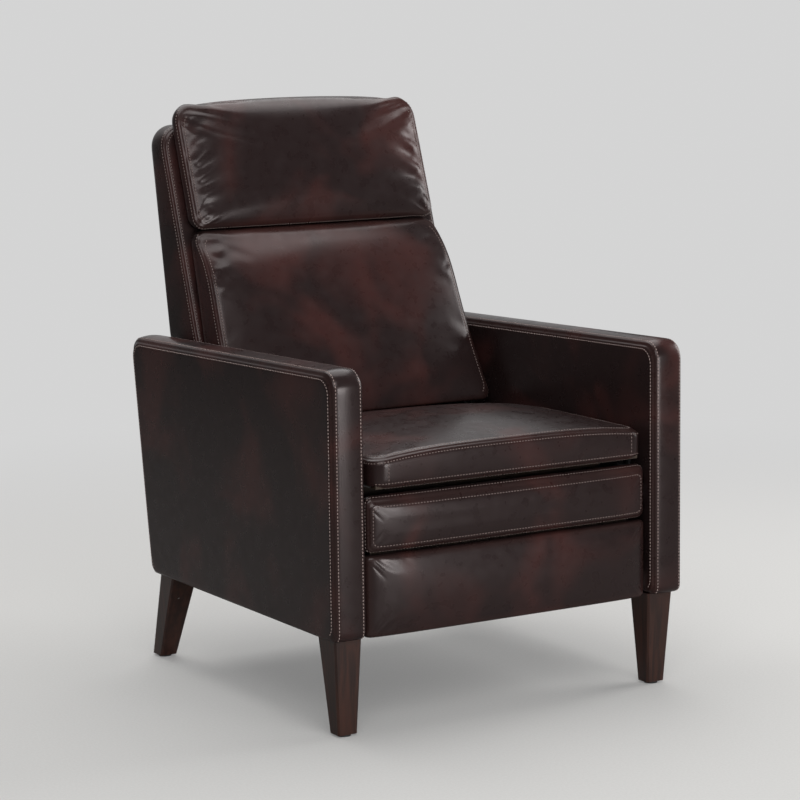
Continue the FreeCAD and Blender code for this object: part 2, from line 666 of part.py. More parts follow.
def seat_plate(side):
    """Side plate of the seat: crank bearing, slide slot, hanger stud and rear stud."""
    layer = span(side, SEAT_PLATE_INNER, SEAT_PLATE_INNER + SEAT_PLATE_THICK)
    front = CRANK_PIVOT_Y - PLATE_MARGIN
    lobe = CRANK_PIVOT_Y + PLATE_MARGIN
    low = SLIDE_PIN[1] - PLATE_MARGIN
    stud_low = SEAT_FRONT_PIVOT[1] - PLATE_MARGIN
    stud_rear = HANGER_PIVOT_Y + PLATE_MARGIN
    sheet = prism([
        (front, low, PLATE_CORNER),
        (lobe, low, PLATE_CORNER),
        (lobe, stud_low, 0.0),
        (stud_rear, stud_low, PLATE_CORNER),
        (stud_rear + PLATE_MARGIN, SEAT_PLATE_LOW, PLATE_CORNER),
        (BACK_PIVOT_Y - SEAT_PLATE_TAIL, SEAT_PLATE_LOW, PLATE_CORNER),
        (BACK_PIVOT_Y, SEAT_REAR_PIVOT[1] - PLATE_MARGIN, 0.0),
        (BACK_PIVOT_Y, SEAT_REAR_PIVOT[1] + PLATE_MARGIN, 0.0),
        (SEAT_RAIL_REAR - SEAT_RAIL_THICK, SEAT_PLATE_TOP, PLATE_CORNER),
        (SEAT_RAIL_FRONT, SEAT_PLATE_TOP, PLATE_CORNER),
        (SEAT_RAIL_FRONT, CRANK_PIVOT_Z + SEAT_PLATE_SHOULDER, 0.0),
        (front, CRANK_PIVOT_Z + PLATE_MARGIN, PLATE_CORNER),
    ], layer)
    bearing = rod(CRANK_PIVOT, TORQUE_TUBE_RADIUS + PIN_CLEARANCE, layer)
    slot = bar(SLIDE_PIN, SLIDE_PIN_OPEN, 2 * (PIN_RADIUS + SLOT_CLEARANCE), layer)
    tail = rod(SEAT_REAR_PIVOT, PLATE_MARGIN, layer)
    plate_outer = SEAT_PLATE_INNER + SEAT_PLATE_THICK
    spacer = rod(SEAT_FRONT_PIVOT, SHOULDER_RADIUS, span(side, plate_outer, HANGER_INNER - LAYER_GAP))
    front_stud = rod(SEAT_FRONT_PIVOT, SWING_PIN_RADIUS, span(side, plate_outer, HANGER_OUTER))
    bracket_outer = BACK_BRACKET_INNER + BACK_BRACKET_THICK
    rear_collar = rod(SEAT_REAR_PIVOT, SHOULDER_RADIUS, span(side, plate_outer, BACK_BRACKET_INNER - LAYER_GAP))
    rear_stud = rod(SEAT_REAR_PIVOT, SWING_PIN_RADIUS, span(side, plate_outer, bracket_outer))
    plate = union([sheet, tail]).cut([bearing, slot])
    return union([plate, spacer, front_stud, rear_collar, rear_stud])


def seat_side_rail(side):
    layer = span(side, SEAT_PLATE_INNER - SEAT_RAIL_THICK, SEAT_PLATE_INNER)
    return block(layer, (SEAT_RAIL_FRONT, SEAT_RAIL_REAR), (SEAT_RAIL_LOW, SEAT_RAIL_HIGH))


def seat_cross_rail(front):
    half = SEAT_PLATE_INNER - SEAT_RAIL_THICK
    return block((-half, half), (front, front + SEAT_RAIL_THICK), (SEAT_RAIL_LOW, SEAT_RAIL_HIGH))


def nose_board():
    top = SEAT_RAIL_HIGH + WEBBING_THICK
    half = SEAT_PLATE_INNER
    return block((-half, half), (NOSE_BOARD_FRONT, SEAT_RAIL_FRONT), (top - NOSE_BOARD_THICK, top))


def seat_webbing():
    clear = 2 * (SEAT_PLATE_INNER - SEAT_RAIL_THICK)
    pitch = clear / SEAT_WEBBING_COUNT
    straps = []
    for i in range(SEAT_WEBBING_COUNT):
        middle = (i + 0.5) * pitch - clear / 2
        x_span = (middle - WEBBING_WIDTH / 2, middle + WEBBING_WIDTH / 2)
        z_span = (SEAT_RAIL_HIGH, SEAT_RAIL_HIGH + WEBBING_THICK)
        straps.append(block(x_span, (SEAT_RAIL_FRONT, SEAT_RAIL_REAR), z_span))
    return Part.makeCompound(straps)


def seat_section(y, half, low, seam, crown, swell):
    """Crowned cross section of the seat cushion at depth y."""
    middle = (low + seam) / 2
    low_left = vec(-half, y, low)
    low_right = vec(half, y, low)
    top_right = vec(half, y, seam)
    top_left = vec(-half, y, seam)
    return Part.Wire([
        line(low_left, low_right),
        arc(low_right, vec(half + swell, y, middle), top_right),
        arc(top_right, vec(0, y, crown), top_left),
        arc(top_left, vec(-half - swell, y, middle), low_left),
    ])


def quarter_round(steps):
    """Pairs of reach and draw-in round a soft edge, from the face of a pad to its full section."""
    angles = [math.radians(90.0 * step / steps) for step in range(steps + 1)]
    return [(1 - math.cos(angle), 1 - math.sin(angle)) for angle in angles]


def seat_cushion():
    """Box cushion: crowned top, swollen sides, rounded front and rear edges."""
    low = SEAT_RAIL_HIGH + WEBBING_THICK + SOFT_GAP
    front_edge = SEAT_FRONT + SEAT_EDGE
    rear_edge = SEAT_REAR - SEAT_EDGE
    sections = []
    for reach, draw in quarter_round(SOFT_STEPS):
        inset = SEAT_EDGE * draw
        sections.append(seat_section(SEAT_FRONT + SEAT_EDGE * reach, SEAT_HALF_WIDTH - inset, low + inset / 2,
                                     SEAT_SEAM_FRONT - inset, SEAT_CROWN_FRONT - inset, SEAT_SIDE_SWELL))
    for step in range(1, SEAT_STEPS):
        share = step / SEAT_STEPS
        y = front_edge + (rear_edge - front_edge) * share
        rise = (SEAT_CROWN_MIDDLE - SEAT_CROWN_FRONT) * math.sin(math.pi * min(share / SEAT_CROWN_SHARE, 1.0))
        fall = max(share - SEAT_CROWN_SHARE, 0.0) / (1 - SEAT_CROWN_SHARE)
        seam = SEAT_SEAM_FRONT + (SEAT_SEAM_REAR - SEAT_SEAM_FRONT) * fall
        crown = SEAT_CROWN_FRONT + rise + (SEAT_CROWN_REAR - SEAT_CROWN_FRONT) * fall
        sections.append(seat_section(y, SEAT_HALF_WIDTH, low, seam, crown, SEAT_SIDE_SWELL))
    for reach, draw in reversed(quarter_round(SOFT_STEPS)):
        inset = SEAT_EDGE * draw
        sections.append(seat_section(SEAT_REAR - SEAT_EDGE * reach, SEAT_HALF_WIDTH - inset, low + inset / 2,
                                     SEAT_SEAM_REAR - inset, SEAT_CROWN_REAR - inset, SEAT_SIDE_SWELL))
    return Part.makeLoft(sections, True, True)


# Back

def back_corners(inset, top, low):
    """Side outline of the back, drawn in by inset."""
    knee = back_front_y(BACK_KNEE_Z) + inset
    radius = max(BACK_EDGE_RADIUS - inset, 1.0)
    return [
        (knee, low, 0.0),
        (back_rear_y(low) - inset, low, 0.0),
        (back_rear_y(top) - inset, top, radius),
        (back_front_y(top) + inset, top, radius),
        (knee, BACK_KNEE_Z, 0.0),
    ]


def front_view(half, low, high, radius, y_span):
    """Upright panel with rounded top corners, seen from the front."""
    bulge = radius * (1 - math.sqrt(0.5))
    y = y_span[0]
    wire = Part.Wire([
        line(vec(-half, y, low), vec(half, y, low)),
        line(vec(half, y, low), vec(half, y, high - radius)),
        arc(vec(half, y, high - radius), vec(half - bulge, y, high - bulge), vec(half - radius, y, high)),
        line(vec(half - radius, y, high), vec(-half + radius, y, high)),
        arc(vec(-half + radius, y, high), vec(-half + bulge, y, high - bulge), vec(-half, y, high - radius)),
        line(vec(-half, y, high - radius), vec(-half, y, low)),
    ])
    return Part.Face(wire).extrude(vec(0, y_span[1] - y_span[0], 0))


def back_block(inset):
    """Full form of the back with rounded top corners, drawn in by inset."""
    half = BACK_HALF_WIDTH - inset
    top = BACK_TOP - inset
    depth = (BACK_FRONT_REF_Y - BACK_TOP, BACK_REAR_REF_Y + BACK_TOP)
    sides = prism(back_corners(inset, top, BACK_BOTTOM), (-half, half))
    return sides.common(front_view(half, 0.0, top, BACK_CORNER_RADIUS - inset, depth))


def back_shell():
    """Padded outer casing: rear, top and sides, with a border round the open front."""
    layer = (-BACK_HALF_WIDTH, BACK_HALF_WIDTH)
    casing = back_block(0.0)
    opening = BACK_HALF_WIDTH - BACK_BORDER
    window = prism(sharp(
        (BACK_FRONT_REF_Y - BACK_TOP, BACK_BOTTOM),
        (back_front_y(BACK_KNEE_Z) + BACK_SKIN, BACK_BOTTOM),
        (back_front_y(BACK_KNEE_Z) + BACK_SKIN, BACK_KNEE_Z),
        (back_front_y(BACK_TOP_RAIL_HIGH) + BACK_SKIN, BACK_TOP_RAIL_HIGH),
        (BACK_FRONT_REF_Y - BACK_TOP, BACK_TOP_RAIL_HIGH),
    ), (-opening, opening))
    rear_inner = back_rear_y(BACK_BOTTOM) - BACK_SKIN
    shoulder_y = back_rear_y(BACK_SIDE_LOW) - BACK_SKIN
    open_sides = prism(sharp(
        (BACK_FRONT_REF_Y - BACK_TOP, BACK_BOTTOM),
        (rear_inner, BACK_BOTTOM),
        (shoulder_y, BACK_SIDE_LOW),
        (BACK_FRONT_REF_Y - BACK_TOP, BACK_SIDE_LOW),
    ), layer)
    return casing.cut([back_block(BACK_SKIN), window, open_sides])


def back_stile(side):
    outer = BACK_HALF_WIDTH - BACK_SKIN
    layer = span(side, outer - BACK_STILE, outer)
    return prism(back_corners(BACK_SKIN, BACK_TOP_RAIL_HIGH, BACK_BOTTOM), layer).common(back_block(BACK_SKIN))


def back_rail(low, high):
    half = BACK_HALF_WIDTH - BACK_SKIN - BACK_STILE
    front_low = back_front_y(low) + BACK_SKIN
    front_high = back_front_y(high) + BACK_SKIN
    return prism(sharp(
        (front_low, low),
        (front_low + BACK_RAIL_THICK, low),
        (front_high + BACK_RAIL_THICK, high),
        (front_high, high),
    ), (-half, half))


def back_webbing():
    half = BACK_HALF_WIDTH - BACK_BORDER
    straps = []
    for low in BACK_WEBBING_LOWS:
        high = low + WEBBING_WIDTH
        face_low = back_front_y(low) + BACK_SKIN
        face_high = back_front_y(high) + BACK_SKIN
        straps.append(prism(sharp(
            (face_low - WEBBING_THICK, low),
            (face_low, low),
            (face_high, high),
            (face_high - WEBBING_THICK, high),
        ), (-half, half)))
    return Part.makeCompound(straps)


def back_bracket(side):
    """Hinge plate on the stile: pivots on the arm, and carries the rear of the seat."""
    layer = span(side, BACK_BRACKET_INNER, BACK_BRACKET_INNER + BACK_BRACKET_THICK)
    top = (BACK_BRACKET_TOP_Y, BACK_BRACKET_TOP_Z)
    lower = bar(SEAT_REAR_PIVOT, BACK_PIVOT, BACK_BRACKET_WIDTH, layer)
    upper = bar(BACK_PIVOT, top, BACK_BRACKET_WIDTH, layer)
    bores = [rod(place, SWING_PIN_RADIUS + PIN_CLEARANCE, layer) for place in (SEAT_REAR_PIVOT, BACK_PIVOT)]
    return union([lower, upper]).cut(bores)


# Padded sections

def pad_section(x, rear_low, rear_high, front_high, front_low, swells):
    """Section of a pad at x: flat rear, and swollen top, front and bottom."""
    corners = [vec(x, *place) for place in (rear_low, rear_high, front_high, front_low)]
    edges = [line(corners[0], corners[1])]
    for start, end, swell in zip(corners[1:], corners[2:] + corners[:1], swells):
        run = end - start
        out = vec(0, -run.z, run.y).normalize() * swell
        edges.append(arc(start, (start + end) / 2 - out, end))
    return Part.Wire(edges)


def drawn(places, amount):
    """The four places of a pad section, drawn in towards its rear face by amount."""
    rear_low, rear_high, front_high, front_low = places
    lean = amount * (rear_high[0] - rear_low[0]) / (rear_high[1] - rear_low[1])
    return (
        (rear_low[0] + lean, rear_low[1] + amount),
        (rear_high[0] - lean, rear_high[1] - amount),
        (front_high[0] + amount / 2, front_high[1] - amount),
        (front_low[0] + amount / 2, front_low[1] + amount),
    )


def padded_form(half, shoulder, places, draw_in, swells, end_crown):
    """Pad across the chair: full in the middle, drawn in and flatter towards its two ends."""
    full = half - shoulder
    stations = [(half - shoulder * reach, draw_in * draw) for reach, draw in quarter_round(SOFT_STEPS)]
    stations += [(full * (1 - step / CROWN_STEPS), 0.0) for step in range(1, CROWN_STEPS)]
    mirrored = [(-x, draw) for x, draw in stations]
    sections = []
    for x, draw in mirrored + [(0.0, 0.0)] + stations[::-1]:
        crown = end_crown + (1 - end_crown) * (1 - (x / half) ** 2)
        sections.append(pad_section(x, *drawn(places, draw), [swell * crown for swell in swells]))
    return Part.makeLoft(sections, True, True)


def lumbar_cushion():
    low_rear_y = back_front_y(LUMBAR_LOW_REAR_Z) - SOFT_GAP
    top_rear_y = back_front_y(LUMBAR_TOP_REAR_Z) - SOFT_GAP
    places = (
        (low_rear_y, LUMBAR_LOW_REAR_Z),
        (top_rear_y, LUMBAR_TOP_REAR_Z),
        (LUMBAR_TOP_FRONT_Y, LUMBAR_TOP_FRONT_Z),
        (LUMBAR_LOW_FRONT_Y, LUMBAR_LOW_FRONT_Z),
    )
    swells = (CUSHION_SWELL, LUMBAR_CROWN, SOFT_GAP)
    return padded_form(LUMBAR_HALF_WIDTH, CUSHION_SHOULDER, places, CUSHION_DRAW_IN, swells, CUSHION_END_CROWN)


def head_pillow():
    low_rear_y = back_front_y(PILLOW_LOW_REAR_Z) - SOFT_GAP
    top_rear_y = back_front_y(PILLOW_TOP_REAR_Z) - SOFT_GAP
    places = (
        (low_rear_y, PILLOW_LOW_REAR_Z),
        (top_rear_y, PILLOW_TOP_REAR_Z),
        (PILLOW_TOP_FRONT_Y, PILLOW_TOP_FRONT_Z),
        (PILLOW_LOW_FRONT_Y, PILLOW_LOW_FRONT_Z),
    )
    swells = (PILLOW_TOP_SWELL, PILLOW_CROWN, CUSHION_SWELL)
    return padded_form(PILLOW_HALF_WIDTH, CUSHION_SHOULDER, places, CUSHION_DRAW_IN, swells, CUSHION_END_CROWN)


# Footrest and its scissor linkage

def rivet(place, side, inner):
    """Staked pin with a round head on the outside of the outer strip."""
    face = LINK_INNER + STRIP_THICK
    stem = rod(place, PIN_RADIUS, span(side, inner, face))
    head = rod(place, RIVET_HEAD_RADIUS, span(side, face, face + RIVET_HEAD))
    return [stem, head]


def bores(places, side, inner):
    layer = span(side, inner, inner + STRIP_THICK)
    return [rod(place, PIN_RADIUS + PIN_CLEARANCE, layer) for place in places]


def scissor_crank(side):
    """Bell crank: the long bar of the scissor and the arm that the slot in the arm plate turns."""
    layer = span(side, CRANK_INNER, CRANK_INNER + STRIP_THICK)
    long_bar = bar(CRANK_PIVOT, CRANK_END, BAR_WIDTH, layer)
    short_arm = bar(CRANK_PIVOT, CRANK_PIN, CRANK_ARM_WIDTH, layer)
    cross_pin = rod(SCISSOR_CROSS, PIN_RADIUS, span(side, CRANK_INNER, LINK_INNER + STRIP_THICK))
    end_pin = rod(CRANK_END, PIN_RADIUS, span(side, CRANK_INNER, LINK_INNER + STRIP_THICK))
    drive_pin = rod(CRANK_PIN, PIN_RADIUS, span(side, CRANK_INNER, ARM_INNER - LAYER_GAP))
    return union([long_bar, short_arm, cross_pin, end_pin, drive_pin])


def torque_tube():
    layer = (-CRANK_INNER, CRANK_INNER)
    return rod(CRANK_PIVOT, TORQUE_TUBE_RADIUS, layer).cut(
        rod(CRANK_PIVOT, TORQUE_TUBE_RADIUS - TORQUE_TUBE_WALL, layer))


def scissor_link(side):
    """Second bar of the scissor: slides in the seat plate and carries the footrest."""
    layer = span(side, LINK_INNER, LINK_INNER + STRIP_THICK)
    strip = bar(SLIDE_PIN, FOOT_PIVOT, BAR_WIDTH, layer).cut(bores([SCISSOR_CROSS], side, LINK_INNER))
    slide = rod(SLIDE_PIN, PIN_RADIUS, span(side, SEAT_PLATE_INNER, LINK_INNER))
    return union([strip, slide] + rivet(FOOT_PIVOT, side, CRANK_INNER))


def footrest_link(side):
    """Outer scissor bar, widened into the plate and flange that the footrest board is screwed to."""
    layer = span(side, CRANK_INNER, CRANK_INNER + STRIP_THICK)
    board_rear = BOARD_FRONT + BOARD_THICK
    strip = bar(FOOT_PIVOT, STAY_PIVOT, BAR_WIDTH, layer)
    web = prism(sharp(
        FOOT_PIVOT,
        STAY_PIVOT,
        (board_rear, FOOT_FLANGE_LOW),
        (board_rear, FOOT_FLANGE_HIGH),
    ), layer)
    flange = block(
        span(side, CRANK_INNER - FOOT_FLANGE_WIDTH, CRANK_INNER + STRIP_THICK),
        (board_rear, board_rear + FOOT_FLANGE_THICK),
        (FOOT_FLANGE_LOW, FOOT_FLANGE_HIGH),
    )
    plate = union([strip, web, flange]).cut(bores([FOOT_PIVOT], side, CRANK_INNER))
    return union([plate] + rivet(STAY_PIVOT, side, CRANK_INNER))


def stay_link(side):
    """Short bar that keeps the footrest in step with the crank."""
    layer = span(side, LINK_INNER, LINK_INNER + STRIP_THICK)
    strip = bar(CRANK_END, STAY_PIVOT, BAR_WIDTH, layer)
    return strip.cut(bores([CRANK_END, STAY_PIVOT], side, LINK_INNER))


def footrest_board():
    y_span = (BOARD_FRONT, BOARD_FRONT + BOARD_THICK)
    return block((-BOARD_HALF_WIDTH, BOARD_HALF_WIDTH), y_span, (BOARD_LOW, BOARD_HIGH))


def footrest_pad(half, low, high, top_swell):
    places = (
        (BOARD_FRONT, low),
        (BOARD_FRONT, high),
        (PAD_SEAM_Y, high),
        (PAD_SEAM_Y, low),
    )
    swells = (top_swell, PAD_CROWN, PAD_SWELL)
    return padded_form(half, PAD_SHOULDER, places, PAD_EDGE, swells, CUSHION_END_CROWN)


def side_parts(name, side):
    nodes = {}
    nodes.update(arm_parts(name, side))
    nodes.update(leg_parts(name, side))
    nodes["hanger_plate_" + name] = hanger_plate(side)
    nodes["back_pivot_plate_" + name] = pivot_plate(side)
    nodes["front_hanger_" + name] = front_hanger(side)
    nodes["seat_side_plate_" + name] = seat_plate(side)
    nodes["seat_side_rail_" + name] = seat_side_rail(side)
    nodes["back_stile_" + name] = back_stile(side)
    nodes["back_bracket_" + name] = back_bracket(side)
    nodes["scissor_crank_" + name] = scissor_crank(side)
    nodes["scissor_link_" + name] = scissor_link(side)
    nodes["footrest_link_" + name] = footrest_link(side)
    nodes["stay_link_" + name] = stay_link(side)
    return nodes


def all_parts():
    nodes = {}
    for name, side in SIDES.items():
        nodes.update(side_parts(name, side))
    bolts = [bolt for side in SIDES.values() for bolt in leg_bolts(side, LEG_BOLT_RADIUS)]
    nodes["leg_bolts"] = Part.makeCompound(bolts)
    nodes["leg_glides"] = glides()
    nodes["front_rail"] = front_rail()
    nodes["rear_rail"] = rear_rail()
    nodes["rear_panel"] = rear_panel()
    nodes["corner_brackets"] = corner_brackets()
    nodes["plate_bolts"] = plate_bolts()
    nodes["base_pivot_pins"] = base_pivot_pins()
    nodes["seat_front_rail"] = seat_cross_rail(SEAT_RAIL_FRONT)
    nodes["seat_rear_rail"] = seat_cross_rail(SEAT_RAIL_REAR - SEAT_RAIL_THICK)
    nodes["seat_nose_board"] = nose_board()
    nodes["seat_webbing"] = seat_webbing()
    nodes["seat_cushion"] = seat_cushion()
    nodes["back_shell"] = back_shell()
    nodes["back_top_rail"] = back_rail(BACK_TOP_RAIL_LOW, BACK_TOP_RAIL_HIGH)
    nodes["back_middle_rail"] = back_rail(BACK_MIDDLE_RAIL_LOW, BACK_MIDDLE_RAIL_HIGH)
    nodes["back_bottom_rail"] = back_rail(BACK_BOTTOM_RAIL_LOW, BACK_BOTTOM_RAIL_HIGH)
    nodes["back_webbing"] = back_webbing()
    nodes["lumbar_cushion"] = lumbar_cushion()
    nodes["head_pillow"] = head_pillow()
    nodes["torque_tube"] = torque_tube()
    nodes["footrest_board"] = footrest_board()
    nodes["footrest_upper_pad"] = footrest_pad(
        UPPER_PAD_HALF_WIDTH, UPPER_PAD_LOW, UPPER_PAD_HIGH, UPPER_PAD_TOP_SWELL)
    nodes["footrest_lower_pad"] = footrest_pad(
        LOWER_PAD_HALF_WIDTH, LOWER_PAD_LOW, LOWER_PAD_HIGH, PAD_SWELL)
    return nodes


def report_pivots():
    pivots = {
        "back": BACK_PIVOT,
        "seat": SEAT_REAR_PIVOT,
        "hanger": HANGER_PIVOT,
        "crank": CRANK_PIVOT,
        "scissor_cross": SCISSOR_CROSS,
        "footrest": FOOT_PIVOT,
        "stay": STAY_PIVOT,
    }
    for name, (y, z) in pivots.items():
        print("pivot", name, round(y - CENTRE_Y, 3), round(z, 3))


def main():
    os.makedirs("parts", exist_ok=True)
    for name, shape in all_parts().items():
        placed = shape.translated(vec(0, -CENTRE_Y, 0))
        placed.exportStep("parts/" + name + ".step")
        box = placed.BoundBox
        print(name, len(placed.Solids), placed.isValid(), round(placed.Volume / 1000, 1),
              [round(v, 1) for v in (box.XMin, box.XMax, box.YMin, box.YMax, box.ZMin, box.ZMax)])
    report_pivots()


main()
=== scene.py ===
# %% [markdown]
# # Pushback recliner
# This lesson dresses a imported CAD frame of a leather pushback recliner. The frame already has
# the right size and the moving bodies. Here the leather covers, the stitching, the finishes,
# the light and the camera are added around it.

import json
import math

import bpy
import numpy as np
from mathutils import Matrix, Vector


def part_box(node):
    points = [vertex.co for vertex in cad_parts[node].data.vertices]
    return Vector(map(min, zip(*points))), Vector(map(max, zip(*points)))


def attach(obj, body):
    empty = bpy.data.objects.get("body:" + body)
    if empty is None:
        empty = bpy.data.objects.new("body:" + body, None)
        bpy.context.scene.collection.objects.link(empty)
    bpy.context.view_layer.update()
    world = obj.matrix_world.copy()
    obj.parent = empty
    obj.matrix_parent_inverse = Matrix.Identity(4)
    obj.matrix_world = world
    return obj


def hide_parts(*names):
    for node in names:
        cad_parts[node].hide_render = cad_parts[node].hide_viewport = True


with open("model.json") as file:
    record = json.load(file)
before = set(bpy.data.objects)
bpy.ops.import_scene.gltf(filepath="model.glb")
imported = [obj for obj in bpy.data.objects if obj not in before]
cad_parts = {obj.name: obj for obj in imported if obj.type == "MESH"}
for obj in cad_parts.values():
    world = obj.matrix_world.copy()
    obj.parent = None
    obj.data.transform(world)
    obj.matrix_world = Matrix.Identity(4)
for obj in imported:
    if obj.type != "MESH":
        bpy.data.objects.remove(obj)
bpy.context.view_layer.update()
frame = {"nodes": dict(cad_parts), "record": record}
MM = 0.001
ARM_FRONT_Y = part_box("arm_boxing_left")[0].y / MM

# %% [markdown]
# ## Camera
# The photograph was taken from the front left, a little above the arms. The camera could be
# aimed with a constraint, but a fitted place and three angles reproduce the view exactly.

# %% Camera
CAMERA_PLACE = (-2.4912, -4.1677, 1.2228)
CAMERA_YAW, CAMERA_PITCH, CAMERA_ROLL = (math.radians(a) for a in (31.05, 8.53, -0.73))
FOCAL_LENGTH, SENSOR_WIDTH = 121.5, 36.0


def new_object(name, data):
    obj = bpy.data.objects.new(name, data)
    bpy.context.scene.collection.objects.link(obj)
    return obj


def aim_camera():
    lens = bpy.data.cameras.new("photo_camera")
    lens.lens, lens.sensor_width = FOCAL_LENGTH, SENSOR_WIDTH
    camera = new_object("photo_camera", lens)
    flat = math.cos(CAMERA_PITCH)
    ahead = Vector((math.sin(CAMERA_YAW) * flat, math.cos(CAMERA_YAW) * flat, -math.sin(CAMERA_PITCH)))
    right = Vector((math.cos(CAMERA_YAW), -math.sin(CAMERA_YAW), 0))
    above = right.cross(ahead)
    turn, lean = math.cos(CAMERA_ROLL), math.sin(CAMERA_ROLL)
    rolled_right = turn * right + lean * above
    rolled_above = -lean * right + turn * above
    camera.matrix_world = Matrix.Translation(CAMERA_PLACE) @ Matrix(
        (rolled_right, rolled_above, -ahead)).transposed().to_4x4()
    bpy.context.scene.camera = camera
    return camera


print("camera", aim_camera().name)

# %% [markdown]
# ## Node helpers
# Every finish below is a small node network. A helper adds a node, sets its values and links
# its inputs, so that each network reads from top to bottom. Others calculate, mix two colours,
# add a relief, and start a material or a group.

# %% Node helpers
FIRST_COLOR, SECOND_COLOR = 6, 7


def add(tree, kind, inputs=None, **settings):
    """New node with settings as attributes; inputs are values or the sockets that feed them."""
    node = tree.nodes.new(kind)
    for key, value in settings.items():
        setattr(node, key, value)
    for key, value in (inputs or {}).items():
        if isinstance(value, bpy.types.NodeSocket):
            tree.links.new(value, node.inputs[key])
        else:
            node.inputs[key].default_value = value
    return node


def calculate(tree, operation, *values):
    """Socket with the result of one operation on values or sockets."""
    return add(tree, "ShaderNodeMath", dict(enumerate(values)), operation=operation).outputs[0]


def mix(tree, share, first, second):
    """Socket with a colour between two, which are values or sockets."""
    return add(tree, "ShaderNodeMix", {"Factor": share, FIRST_COLOR: first, SECOND_COLOR: second},
               data_type="RGBA").outputs[2]


def bump(tree, shader, height, strength, distance):
    relief = add(tree, "ShaderNodeBump", {"Height": height, "Strength": strength, "Distance": distance})
    tree.links.new(relief.outputs["Normal"], shader.inputs["Normal"])


def new_material(name, values):
    """Material with a Principled shader, and the socket with the place on the piece for its textures."""
    material = bpy.data.materials.new(name)
    material.use_nodes = True
    tree = material.node_tree
    tree.nodes.clear()
    shader = add(tree, "ShaderNodeBsdfPrincipled", values)
    add(tree, "ShaderNodeOutputMaterial", {"Surface": shader.outputs["BSDF"]})
    return material, tree, shader, add(tree, "ShaderNodeTexCoord").outputs["Object"]


def flecked_material(name, dark, light, scale, strength, distance, values):
    """Finish in fine flecks of two tones, with a relief to match."""
    material, tree, shader, place = new_material(name, values)
    fleck = add(tree, "ShaderNodeTexNoise", {"Vector": place, "Scale": scale, "Detail": 2.0}).outputs["Fac"]
    tree.links.new(mix(tree, fleck, dark, light), shader.inputs["Base Color"])
    bump(tree, shader, fleck, strength, distance)
    return material


def new_group(name, inputs, outputs, kind="ShaderNodeTree"):
    """Node group with named inputs and outputs, each with the type of its socket."""
    group = bpy.data.node_groups.new(name, kind)
    for way, sockets in (("INPUT", inputs), ("OUTPUT", outputs)):
        for label, socket in sockets.items():
            group.interface.new_socket(label, in_out=way, socket_type=socket)
    return group, add(group, "NodeGroupInput").outputs, add(group, "NodeGroupOutput").inputs


print("node helpers ready")

# %% [markdown]
# ## Leather finish
# The cover is a glossy two-tone leather: a dark brown top coat rubbed off in soft patches over
# an oxblood base, with a fine pebbled grain. A photo texture would fix the patches to one
# place. Layered noise in the piece's own coordinates runs on round every edge instead.
# One group makes the patches and one the grain, so both can serve other finishes.

# %% Patch and grain groups
FLOAT, COLOR, VECTOR = "NodeSocketFloat", "NodeSocketColor", "NodeSocketVector"
PEBBLE_HEIGHT = -0.5


def patch_group():
    group, given, result = new_group(
        "rubbed_patches", {"Vector": VECTOR, "Scale": FLOAT, "Dark": COLOR, "Warm": COLOR}, {"Color": COLOR})
    broad = add(group, "ShaderNodeTexNoise", {
        "Vector": given["Vector"], "Scale": given["Scale"], "Detail": 2.0, "Roughness": 0.45, "Distortion": 0.6})
    patch = add(group, "ShaderNodeMapRange", {
        "Value": broad.outputs["Fac"], "From Min": 0.44, "From Max": 0.70}, interpolation_type="SMOOTHSTEP")
    mottle = add(group, "ShaderNodeTexNoise", {
        "Vector": given["Vector"], "Scale": 38.0, "Detail": 3.0, "Roughness": 0.6})
    speck = add(group, "ShaderNodeMapRange", {
        "Value": mottle.outputs["Fac"], "From Min": 0.3, "From Max": 0.7, "To Min": 0.75, "To Max": 1.0})
    share = calculate(group, "MULTIPLY", patch.outputs["Result"], speck.outputs["Result"])
    group.links.new(mix(group, share, given["Dark"], given["Warm"]), result["Color"])
    return group


def grain_group():
    group, given, result = new_group(
        "pebble_grain", {"Vector": VECTOR, "Scale": FLOAT}, {"Height": FLOAT, "Gloss": FLOAT})
    cells = add(group, "ShaderNodeTexVoronoi", {
        "Vector": given["Vector"], "Scale": given["Scale"], "Randomness": 0.9}, feature="SMOOTH_F1")
    creases = add(group, "ShaderNodeTexNoise", {
        "Vector": given["Vector"], "Scale": 45.0, "Detail": 2.0, "Roughness": 0.5}).outputs["Fac"]
    height = calculate(group, "MULTIPLY_ADD", cells.outputs["Distance"], PEBBLE_HEIGHT, creases)
    gloss = add(group, "ShaderNodeMapRange", {"Value": creases, "From Min": 0.3, "From Max": 0.7})
    group.links.new(height, result["Height"])
    group.links.new(gloss.outputs["Result"], result["Gloss"])
    return group


PATCHES, GRAIN = patch_group(), grain_group()
print("groups", PATCHES.name, GRAIN.name)

# %% Leather material
LEATHER_DARK = (0.0185, 0.0106, 0.0104, 1)
LEATHER_WARM = (0.051, 0.0180, 0.0160, 1)
LEATHER_WORN = (0.050, 0.021, 0.017, 1)


